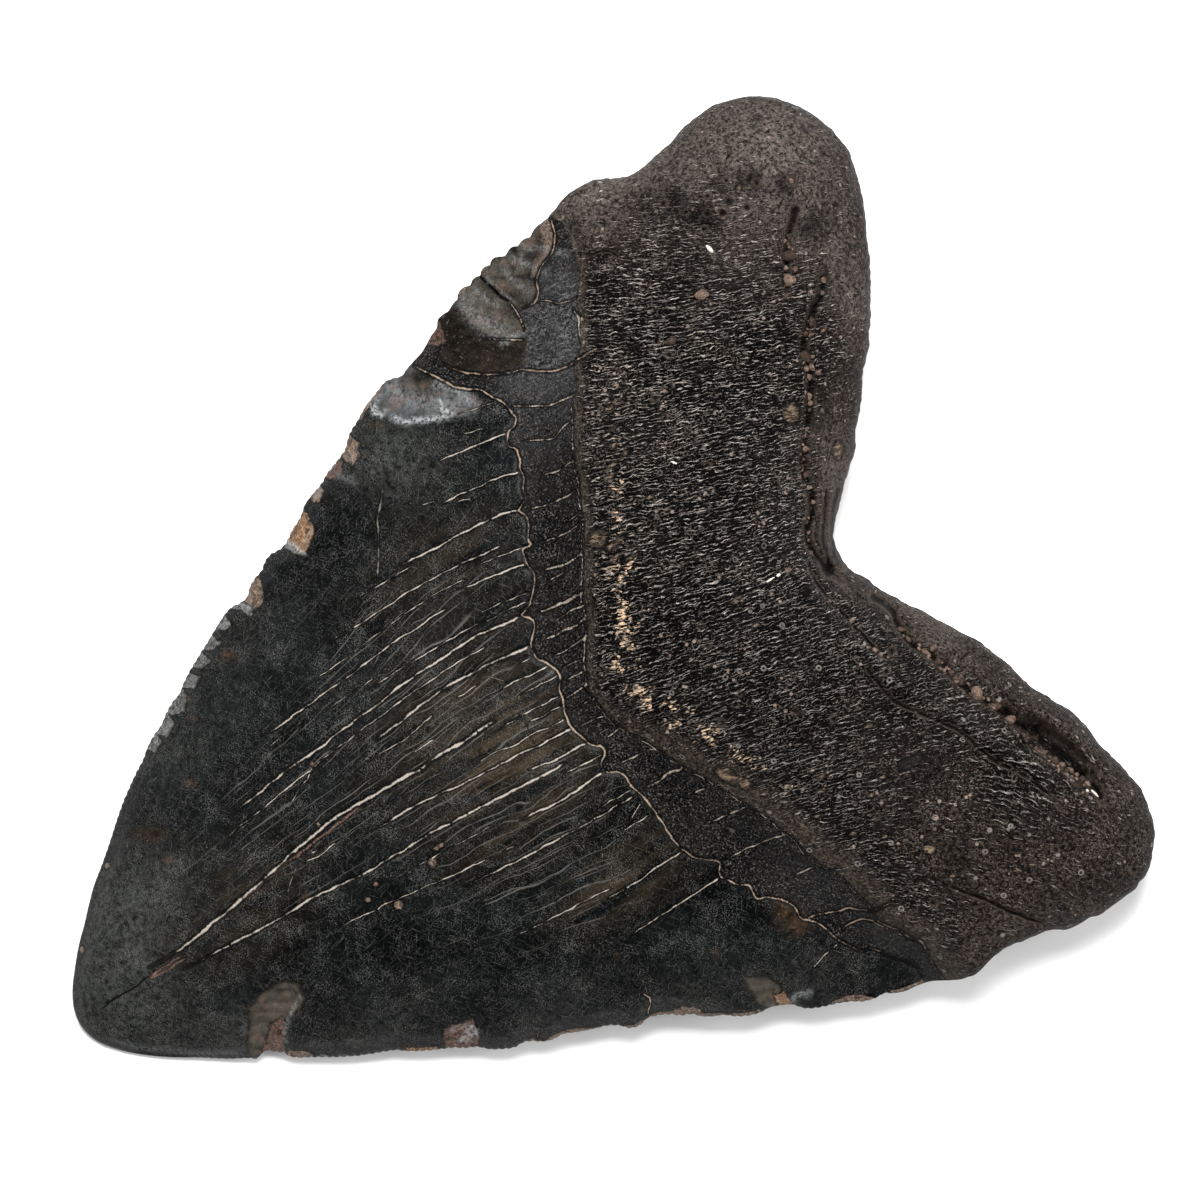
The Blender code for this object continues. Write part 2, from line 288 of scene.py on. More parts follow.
# %% Where enamel, neck band and root meet
ENAMEL_END = [
    (-39.4, 7.2), (-38.1, 7.8), (-36.8, 8.6), (-35.5, 9.4), (-34.2, 10.1), (-33.3, 11),
    (-32.7, 11.9), (-32.1, 12.5), (-31.2, 12.8), (-30.2, 13.4), (-29, 13.6), (-28, 13.6),
    (-27.6, 13.2), (-27.4, 12.4), (-26.9, 11.9), (-26.2, 11.6), (-25.5, 12.1), (-24.8, 12),
    (-23.5, 11.4), (-22.6, 11.2), (-21.8, 10.6), (-20.8, 10.3), (-20.5, 9.6), (-20.2, 9.1),
    (-19.5, 9.4), (-18.3, 9), (-17.2, 8.4), (-16.7, 8.4), (-16.7, 7.4), (-15.8, 7.1), (-14.2, 7.1),
    (-13.5, 6.8), (-12.9, 6.2), (-12.3, 5.6), (-11.7, 5.2), (-11.3, 3.9), (-10.9, 4.2),
    (-10.2, 4.6), (-9.4, 4.1), (-8.3, 3.1), (-7.6, 2.9), (-6.8, 3), (-5.6, 3.7), (-4.9, 3.9),
    (-4.2, 3.9), (-3.4, 3.3), (-2.3, 3), (-1.4, 2.6), (-0.2, 2.25), (1.2, 2.3), (2, 2.6), (3, 2.9),
    (4.1, 3.8), (4.6, 3.6), (5.2, 2.8), (6, 2.6), (6.4, 2.9), (6.7, 3.7), (7.4, 4.1), (8.9, 4.2),
    (10.3, 4.6), (11.4, 4.7), (13.2, 4.8), (15.4, 4.8), (16.8, 5.2), (17.9, 5.6), (18.7, 6.4),
    (19.2, 7.1), (19.8, 7.5), (20.4, 7), (21, 6.9), (21.6, 7.3), (22.4, 7.7), (23.1, 8.7),
    (23.9, 8.8), (24.7, 8.7), (25.1, 9.5), (25.8, 10.4), (27.3, 11.4), (28.8, 11.5), (29.5, 12.1),
    (30.6, 12.8), (32.2, 13.2), (33.2, 13.7), (34.7, 14.7), (35.2, 15.8), (36.3, 16.6),
    (37.6, 17.6), (39.3, 18.6), (40.3, 18.7), (42.6, 18.2),
]
ROOT_START = [
    (-45.4, 26.4), (-43.4, 27.2), (-42, 27.9), (-39.5, 27.4), (-37.5, 26.9), (-36.1, 26),
    (-34.8, 24.8), (-33.6, 24.4), (-32.3, 23.7), (-30.7, 22.8), (-29.7, 21.3), (-28.7, 20.9),
    (-27.5, 20.5), (-26.2, 19.2), (-24.6, 18.4), (-23, 17.3), (-21, 16.3), (-19.3, 15.7),
    (-17.5, 14.7), (-15.6, 13.9), (-13.8, 12.7), (-12, 11.6), (-10.6, 10.6), (-9.2, 9.8),
    (-7.5, 9.2), (-5.5, 7.8), (-4.2, 6.9), (-2.8, 6.3), (-1.8, 5.6), (0, 5.8), (1.6, 6), (3.4, 6.5),
    (4.7, 7.3), (6.6, 8.2), (9.2, 9.4), (11.5, 10.7), (14.2, 12), (16.4, 13.1), (18.2, 14),
    (20.2, 14.5), (21.5, 15.1), (23.4, 15.3), (24.8, 15.8), (26.2, 16.7), (28.2, 17.3), (30, 17.7),
    (31.5, 18), (32.8, 17.6), (34.2, 18.5), (35.6, 19.3), (36.8, 20.1), (38.4, 20.2), (40.2, 20.1),
    (42, 20.2), (43.8, 20.4),
]
UNDER_ROOT_START = [
    (-46, 24.5), (-41, 22.6), (-36, 20.9), (-30, 18.4), (-24, 15.5), (-18, 12.9), (-12, 10.9),
    (-6, 9.6), (0, 9.2), (6, 9.8), (12, 11.3), (18, 13.2), (24, 15.3), (30, 17.5), (36, 19.6),
    (41, 21.2), (45, 22.2),
]

# %% [markdown]
# ## Cracks
# Enamel that has dried for millions of years splits along its length, and pale silt fills the
# splits. Each crack is a width in millimetres and a few points along it. The strongest two
# run from the neck almost to the tip.

# %% Cracks in the enamel
PALE_CRACKS = [
    (0.16, [(-30.5, 13.3), (-30.9, 11.5), (-31.6, 9)]),
    (0.14, [(-28.9, 10.8), (-29.6, 8.2)]),
    (0.2, [(-27.3, 12), (-27.6, 10.8), (-27.9, 9), (-28.4, 6.2), (-28.6, 5)]),
    (0.25, [(-23.3, 11.3), (-23.8, 10), (-24.1, 8.4), (-24.4, 6.6), (-24.7, 4.6), (-24.9, 2.7)]),
    (0.14, [(-23.7, 5.8), (-24.2, 4.2)]),
    (0.14, [(-25.5, 2.4), (-25.9, 1)]),
    (0.3, [(-20.3, 9.3), (-20.7, 7.8), (-21, 6), (-21.2, 4), (-21.4, 2), (-21.5, 0), (-21.7, -2),
        (-21.9, -4)]),
    (0.15, [(-21.2, -3), (-21.3, -5), (-21.4, -10)]),
    (0.25, [(-18.2, 5.6), (-18.4, 4), (-18.7, 2), (-18.9, 0), (-19.1, -2), (-19.2, -5),
        (-19.1, -8), (-19.1, -11.5), (-19.2, -13.8)]),
    (0.2, [(-16.7, 8.2), (-17.1, 6.4), (-17.5, 4.4), (-17.8, 2.7)]),
    (0.15, [(-17.3, 1), (-17.5, -1), (-17.6, -5), (-17.4, -7.5), (-17.2, -11), (-16.9, -14),
        (-16.8, -16.5), (-16.7, -18.6)]),
    (0.25, [(-15.3, 7), (-15.7, 5.6), (-16.1, 3.6), (-16.4, 1.4), (-16.7, 0)]),
    (0.25, [(-15.8, -2.2), (-15.8, -4), (-15.7, -6), (-15.8, -7.5), (-15.6, -10), (-15.4, -12.5),
        (-15.2, -14.5), (-15.2, -16.5), (-15, -18.5), (-14.9, -20.5), (-14.75, -22),
        (-14.85, -24.5)]),
    (0.14, [(-12.9, 5.6), (-13.2, 4), (-13.7, 0.4)]),
    (0.2, [(-12.1, 5.3), (-12.4, 3.6), (-12.6, 1.6), (-12.9, -0.6), (-13, -3), (-13.1, -7),
        (-13.2, -13)]),
    (0.14, [(-13.8, -12), (-13.7, -15), (-13.6, -17.5)]),
    (0.12, [(-14, -20), (-13.6, -24.5)]),
    (0.35, [(-11.3, 3.7), (-11.5, 2), (-11.8, 0), (-12, -1.4), (-11.9, -4), (-11.8, -8),
        (-11.7, -10.2), (-11.4, -12.5), (-11.3, -15), (-11.1, -17), (-11, -18.5), (-10.8, -20),
        (-10.7, -22), (-10.6, -24.5), (-10.4, -26.5), (-10.1, -28.3), (-9.95, -30), (-9.8, -31.5)]),
    (0.2, [(-10.6, -0.5), (-10.7, -4.2), (-10.6, -8), (-10.5, -10.5), (-10.3, -13), (-10.1, -15.5),
        (-9.9, -18), (-9.7, -20.5), (-9.4, -22.5), (-9.2, -24.5), (-8.9, -26.5), (-8.7, -28),
        (-8.5, -29.5), (-8.4, -31), (-8.1, -32.5), (-7.9, -34)]),
    (0.12, [(-9.3, -22), (-8.3, -24), (-7.4, -25.8)]),
    (0.38, [(-8.3, 2.9), (-8.5, 1.4), (-8.8, -0.4), (-9, -2), (-9.1, -4), (-9.3, -5.5),
        (-9.2, -7.5), (-8.9, -10.5), (-8.7, -12), (-8.6, -14), (-8.5, -15)]),
    (0.18, [(-7.2, 2.8), (-7.4, 1)]),
    (0.2, [(-5.7, 3.4), (-5.8, 1.6), (-6.1, 0), (-6.2, -2)]),
    (0.2, [(-4.4, 3.6), (-4.6, 1.6), (-4.8, -0.3)]),
    (0.14, [(-7.8, -3.5), (-7.8, -6)]),
    (0.14, [(-7.6, -9), (-7.2, -11.5), (-7.1, -16.5)]),
    (0.14, [(-5.5, -10), (-5.5, -12.5)]),
    (0.2, [(-2.6, 2.8), (-2.8, 1), (-2.9, -1), (-2.9, -3.8)]),
    (0.2, [(-1.7, 2.6), (-1.8, 0.6), (-2.1, -1.2)]),
    (0.44, [(-3.9, -4), (-3.9, -5.5), (-3.8, -7.5), (-3.95, -10), (-3.9, -11.8), (-3.75, -12.5),
        (-3.9, -13.5), (-3.85, -15.5), (-4, -17.5), (-4, -19), (-4.1, -21), (-4.1, -23),
        (-3.9, -24.5), (-3.7, -26), (-3.4, -28), (-3, -29.8), (-2.8, -31), (-2.5, -33),
        (-2.1, -35), (-1.85, -37), (-1.6, -38.8), (-1.4, -40), (-1.2, -42), (-1.1, -44.5),
        (-1.2, -46.5)]),
    (0.14, [(-2.9, -25.8), (-2.5, -26.2), (-2.3, -24.5)]),
    (0.14, [(-2, -23.5), (-1.8, -25.5), (-1.9, -27.3)]),
    (0.2, [(-0.4, 2.3), (-0.5, 0.8), (-0.8, -1), (-0.9, -3.8), (-1.2, -5), (-1.3, -7.6)]),
    (0.3, [(0.7, 2.1), (0.6, 0.4), (0.5, -1.4), (0.2, -3), (0.05, -5), (-0.1, -7.5), (-0.3, -10),
        (-0.6, -12), (-0.8, -13.5), (-1, -15.5), (-1, -17.5), (-1.1, -20)]),
    (0.28, [(2.7, 2.8), (2.6, 0.8), (2.5, -0.8), (2.2, -2.2), (2, -3.6)]),
    (0.36, [(3.3, -0.4), (3.2, -2), (3.05, -4), (2.9, -5.5), (2.75, -8), (2.5, -10.5),
        (2.4, -12.5), (2.2, -14.5), (2.15, -16.5), (2.2, -18.5), (2.1, -20.5), (2.15, -22),
        (2, -24), (1.8, -25.5), (1.6, -27.5), (1.4, -29.3), (1.5, -31), (1.4, -33), (1.4, -35),
        (1.2, -36.5), (1.1, -38.5), (1, -40), (0.85, -42), (0.8, -43.5)]),
    (0.2, [(4.5, 3.6), (4.4, 2), (4.1, -0.6)]),
    (0.14, [(4.7, -10), (4.6, -12), (4.4, -14.5), (4.2, -19)]),
    (0.32, [(6.1, 2.6), (6, 1.4), (6.1, 0), (6.2, -1.4), (6.1, -3.6), (5.9, -5.5), (5.7, -7)]),
    (0.16, [(7.6, -9), (7.5, -10)]),
    (0.2, [(7.2, -12), (7, -14), (6.8, -16), (6.4, -18.3), (6.2, -20), (5.9, -22), (5.7, -24.5),
        (5.4, -26.5), (5.3, -28.6)]),
    (0.2, [(8.9, 4), (8.9, 2.2), (8.8, 0.4)]),
    (0.3, [(9.6, 3.6), (9.55, 0.4), (9.5, -2), (9.3, -4.5), (9.15, -7), (8.9, -10.4), (8.6, -13),
        (8.5, -15)]),
    (0.16, [(10.6, 3.8), (11.2, 2.8), (11.7, 1.8)]),
    (0.18, [(12.1, 4.6), (12, 3), (11.9, 1)]),
    (0.28, [(16.85, 5), (16.8, 3), (16.8, 1.6), (17, 0.4), (17, -1.4), (16.95, -3.6)]),
    (0.2, [(16.2, -3), (16, -5), (15.8, -8), (15.6, -10.5), (15.4, -13.2)]),
    (0.25, [(21, 6.8), (21, 4.5), (21.1, 2), (21.1, 0), (21.2, -2), (21.3, -4)]),
    (0.14, [(32.9, 13.4), (33.1, 12), (33.5, 10.5), (33.9, 9.6)]),
]
RED_CRACKS = [
    (0.24, [(-3.7, -20), (-3.5, -22), (-3.3, -24), (-3.1, -26), (-2.9, -27.5), (-2.9, -29),
        (-2.6, -30.5), (-2.4, -32), (-2.1, -34), (-1.9, -36)]),
    (0.18, [(-0.5, -43), (-0.45, -45), (-0.4, -47)]),
    (0.16, [(-0.1, -43), (-0.05, -45), (-0.1, -47)]),
]
SCRATCHES = [
    (0.12, [(-2, -28.3), (-0.9, -29.8), (-0.2, -30.6)]),
    (0.22, [(-29.5, -1), (-26.5, -3.6), (-24.2, -4.8), (-21.7, -6.5)]),
    (0.12, [(12.2, -1.5), (13.8, -2.4)]),
    (0.12, [(13, -3), (14.8, -3)]),
    (0.12, [(-5, -0.3), (-3.8, -1.4)]),
    (0.12, [(-3, -1.3), (0, -1.8)]),
    (0.12, [(-8, -2.2), (-6.5, -0.8)]),
    (0.12, [(-3.5, -5.2), (-2, -6.8)]),
    (0.12, [(13.3, -7.6), (15, -8.5)]),
]
print("enamel cracks:", len(PALE_CRACKS), "pale,", len(RED_CRACKS), "red,",
      len(SCRATCHES), "scratches")

# %% [markdown]
# ## Cracks in the neck band
# The band has shrunk like old leather, so its cracks run straight across it, from the enamel
# to the root. The line along the enamel's end is the widest and is packed with tan silt.

# %% Cracks across the neck band
BAND_CRACKS = [
    (0.15, [(x, y - 0.3) for x, y in ROOT_START[13:-1]]),
    (0.3, [(-34.3, 24.2), (-33.2, 24.1), (-31, 23)]),
    (0.26, [(-27, 20), (-27.1, 18.4), (-27.7, 16.6), (-28.5, 15.2), (-29.5, 14)]),
    (0.22, [(-24.8, 18.6), (-24.9, 17.2), (-24.4, 15.8), (-24.9, 14.8), (-25.9, 13.1)]),
    (0.2, [(-21.5, 16.4), (-21.6, 14), (-22, 12.9)]),
    (0.24, [(-18.9, 15.5), (-18.9, 13.6), (-19.1, 12.2), (-19.7, 10.1)]),
    (0.22, [(-16.1, 14.2), (-15.8, 12.8), (-16, 11), (-16.5, 8.6)]),
    (0.2, [(-16.8, 14), (-16.7, 12.5)]),
    (0.32, [(-13.4, 12.1), (-13.2, 10.6), (-13.6, 9), (-13.9, 8.2)]),
    (0.2, [(-12.7, 9.8), (-12.7, 8)]),
    (0.36, [(-9.9, 10.2), (-10.1, 9.2), (-10.2, 8), (-10.4, 6.8), (-10.7, 5.4)]),
    (0.24, [(-8.9, 9.6), (-9.1, 7.4), (-8.9, 5.2)]),
    (0.34, [(-7.9, 9.3), (-7.6, 8.2), (-7.8, 6.8), (-8, 4.6)]),
    (0.22, [(-6.2, 8.2), (-6.1, 7), (-6.2, 4.5)]),
    (0.22, [(-4.4, 7.2), (-4.6, 6), (-4.8, 4.4)]),
    (0.18, [(-3.4, 6.3), (-3.5, 4.2)]),
    (0.24, [(-2.1, 6.3), (-2.1, 3.2)]),
    (0.22, [(-0.6, 5.6), (-0.6, 2.9)]),
    (0.22, [(1.4, 5.5), (1.1, 4.4), (1, 2.9)]),
    (0.2, [(2.8, 5.9), (2.5, 4)]),
    (0.18, [(3.3, 6), (3.3, 4.6)]),
    (0.24, [(6.6, 8), (6.4, 6.6), (6.1, 4.2)]),
    (0.34, [(9.8, 9.1), (9.5, 7.6), (9.7, 6.6), (9.5, 5.1)]),
    (0.2, [(12.6, 10), (12.5, 8.8)]),
    (0.24, [(16.3, 12.7), (16.1, 11.3), (15.7, 8.4)]),
    (0.24, [(21.1, 15.3), (20.7, 14.4), (20.3, 13.2), (20.1, 11.6), (19.9, 10.2), (19.8, 8.4)]),
    (0.18, [(24.9, 15.6), (24.7, 12.4)]),
]
SPUR = [
    (29.2, 12), (29.3, 13), (29.7, 14), (30.1, 15), (30.3, 15.8), (31, 16.7), (31.6, 17.5),
    (31.9, 18.3), (31.9, 19), (32.2, 19.9), (32.6, 20.9),
]
LOOP = [
    (31.9, 14.3), (31.8, 15.3), (31.9, 16.2), (32.3, 16.9), (33, 17.6), (33.9, 18.3), (34.8, 18.9),
    (35.6, 19.3), (36.4, 19.9), (37, 20.2), (38, 20.2), (39.1, 20.1), (40.2, 20.1), (41.8, 20.2),
]
LEFT_CRACK = [
    (-29.6, 24), (-29.7, 22.5), (-29.7, 21), (-29.9, 19.8), (-30.4, 18.8), (-31, 17.9),
    (-31.9, 16.8), (-32.4, 15.4), (-33, 14.2), (-34, 12.7), (-35.2, 11.4), (-36.6, 10.5),
]
FLAKE_BORDER = [
    (-43.4, 27.2), (-42.5, 26.9), (-41.4, 26.5), (-40.6, 25.9), (-40, 25.1), (-39.8, 24.2),
    (-39.3, 23.3), (-38.7, 22.6), (-37.8, 22.3), (-37.2, 21.8), (-36.9, 21), (-37.2, 20),
]
TAN_CRACKS = [
    (0.36, ENAMEL_END[1:-1]),
    (0.34, SPUR),
    (0.32, LOOP),
    (0.36, LEFT_CRACK),
    (0.34, FLAKE_BORDER),
    (0.24, [(-35.1, 25.1), (-35.2, 24), (-35.5, 23.2), (-36.3, 22.5), (-37, 21.8)]),
    (0.24, [(-38.1, 19.3), (-36.5, 19.3), (-35.2, 19)]),
    (0.28, [(-34.4, 18.5), (-35, 17.5), (-35.8, 16.3), (-36.5, 15.3)]),
    (0.24, [(27, -5.9), (27.6, -5.6), (28.4, -6), (29, -6.6), (29.3, -7.3)]),
    (0.22, [(24.8, -16.8), (25.2, -17.3), (26, -17)]),
]
print("band cracks:", len(BAND_CRACKS), "and", len(TAN_CRACKS), "packed with tan silt")

# %% [markdown]
# ## Grooves, pits and scars
# The root is scored by long vascular grooves and small pits, and the upper left edge of the
# crown has lost flakes. Each groove is a half width, a depth and a route. Each scar is a
# polygon that sinks by a depth and softens inwards over a short distance.

# %% Grooves and pits in the root
ROOT_GROOVES = [
    (0.75, 1, [(-30.8, 47.8), (-30, 47), (-28.8, 45.7), (-27.5, 44.7), (-26.3, 43.9), (-25, 43),
        (-24.2, 42.6)]),
    (0.85, 1.7, [(-24, 46.9), (-22.6, 45.9), (-21.3, 43.8), (-20.3, 42.6), (-18.5, 41.1),
        (-17, 40.7), (-15.5, 40.1), (-13.5, 38.7), (-12, 37.4), (-10.5, 36.3), (-8.5, 34.9),
        (-7.3, 34.6), (-5.3, 34), (-4, 32.8), (-3, 31.8), (-2, 31.5), (-0.8, 31.5), (0.5, 31.8),
        (1.8, 32.2), (2.6, 32.4)]),
    (0.8, 1.1, [(5.5, 34.1), (6.6, 34.9), (7.6, 35.2), (9, 34.9), (11, 34.9), (13.3, 35.9),
        (14.7, 36.5), (17.3, 37), (20.2, 38.2), (22, 39), (24, 39.5)]),
    (0.9, 1.2, [(22, 39.2), (24, 40), (26, 40.8)]),
    (2, 3.2, [(25, 40.6), (27, 41.3), (30, 42.3), (32.5, 42.9)]),
    (0.9, 1.4, [(32, 42.8), (33.5, 42.9), (34.6, 42.7)]),
    (0.4, 0.5, [(-0.8, 30.7), (0.3, 30.2), (2.6, 30.2), (5.4, 30.7), (8.3, 31.3), (10.5, 31.6),
        (11.4, 32.1)]),
    (0.42, 0.5, [(11, 29.8), (13, 30), (15, 30.4), (16.5, 31.2), (19.5, 33.3), (22, 34.6),
        (25, 35.5), (28.5, 37.6), (31, 38.4), (33.5, 38.8)]),
    (0.34, 0.8, [(33.8, 25.5), (35.4, 26.8), (37, 28), (38.5, 28.8), (40.2, 30.1), (41.8, 31.3)]),
    (0.24, 0.8, [(-42.3, 18.1), (-41, 18.4), (-40, 18.7), (-38.1, 19.3)]),
    (0.35, 0.6, [(15.3, 39.5), (15.3, 38)]),
    (0.55, 0.55, [(-5.5, 37.2), (-3.6, 35.4), (-1.6, 34.1), (0, 33.3), (1.8, 33.2)]),
    (0.5, 0.5, [(-5.9, 35.9), (-4, 34.6), (-2, 33.1), (0, 32.5), (1.6, 32.6)]),
    (0.3, 0.6, [(-38.6, 44.7), (-39, 45.3), (-39.6, 45.6)]),
    (0.28, 0.5, [(-37.9, 28), (-37.8, 28.7), (-37.6, 29.6), (-37, 30.3), (-36.1, 30.8)]),
    (0.17, 0.3, [(-0.6, -47), (-0.3, -49), (-0.4, -50.5), (-0.3, -52), (-0.2, -53.3)]),
]
ROOT_RIDGES = [
    (1.3, 0.75, [(-0.8, 29.6), (2.6, 29), (5.4, 29.5), (8.3, 30.1), (11.4, 30.9)]),
    (1.6, 0.85, [(11, 31), (16.5, 32.4), (19.5, 34.4), (25, 36.9), (30, 39.2)]),
    (1.4, 0.65, [(9, 36.6), (14.7, 38.2), (20.2, 40.2), (25, 42.9), (31, 44.6)]),
    (0.6, 0.35, [(-22, 42.4), (-20.5, 40.9), (-19, 40.1), (-16.5, 39.7), (-15.3, 39)]),
    (0.5, 0.4, [(1.6, 31.5), (3.3, 32.6), (4.5, 33.2), (5.5, 33.9)]),
    (0.6, 0.3, [(25.5, 19), (27, 20.2), (28.6, 21.5), (29.9, 22.4), (31.3, 23.7), (32, 24.8)]),
    (0.55, 0.42, [(12, 29), (15.5, 29.6), (18.5, 31.3), (22, 33.5), (25.5, 34.5), (29, 36.5),
        (32, 37.3)]),
    (0.45, 0.2, [(-27, 35), (-25.5, 33.5), (-24.7, 31.5), (-24.1, 30.2)]),
]
PITS = [  # x, y, width
    (-38.4, 37.2, 0.7), (-38.3, 35, 0.5), (-38.7, 42.3, 0.45), (-41.2, 43.4, 0.45),
    (-40.8, 36.1, 0.4), (-35.1, 46, 0.7), (-33.5, 49, 0.8), (-25.3, 29.7, 0.6), (-14.1, 27, 0.6),
    (10.9, 32.8, 0.8), (12.2, 31.2, 0.6), (24.8, 42.6, 0.5), (42.1, 41.9, 0.7), (43.1, 41.6, 0.5),
    (43.6, 36.8, 0.5), (42.6, 34.9, 0.5), (41.5, 34.8, 0.4), (36, 42, 0.5), (36, 36.2, 0.5),
    (38.1, 24.4, 0.4), (-35, 42.7, 1.1), (-34.4, 41.6, 0.8), (-35.2, 40.3, 0.9), (-36.6, 41.2, 0.5),
    (-34, 39.2, 0.6), (-36.4, 38.6, 0.5), (-33.6, 43.9, 0.7), (-36.9, 43.6, 0.5), (-29, 50.5, 0.6),
    (-30.9, 47.9, 0.9), (-12.9, 38.2, 1.1), (0.9, 31.9, 1.6), (-1.2, 18.2, 0.5), (0.8, 17.7, 0.5),
    (6.4, 17.9, 0.45), (7.1, 17, 0.5), (7.9, 15, 0.5), (10.7, 21.5, 0.5), (13.4, 24.4, 0.6),
    (23.8, 23, 0.5), (34.1, 23.3, 0.9), (27.7, 29.5, 0.6), (-22.4, 26.3, 0.6), (-20.3, 26, 0.6),
]
print("root:", len(ROOT_GROOVES), "grooves,", len(ROOT_RIDGES), "ridges,", len(PITS), "pits")

# %% [markdown]
# ## Chips and scars
# A chip is where the sharp edge broke while the tooth was in use or in the gravel, and shows
# tan or orange dentine. A scar is a thumbnail-shaped flake. Both are sunk into the surface,
# and their colour comes later from the same shapes.

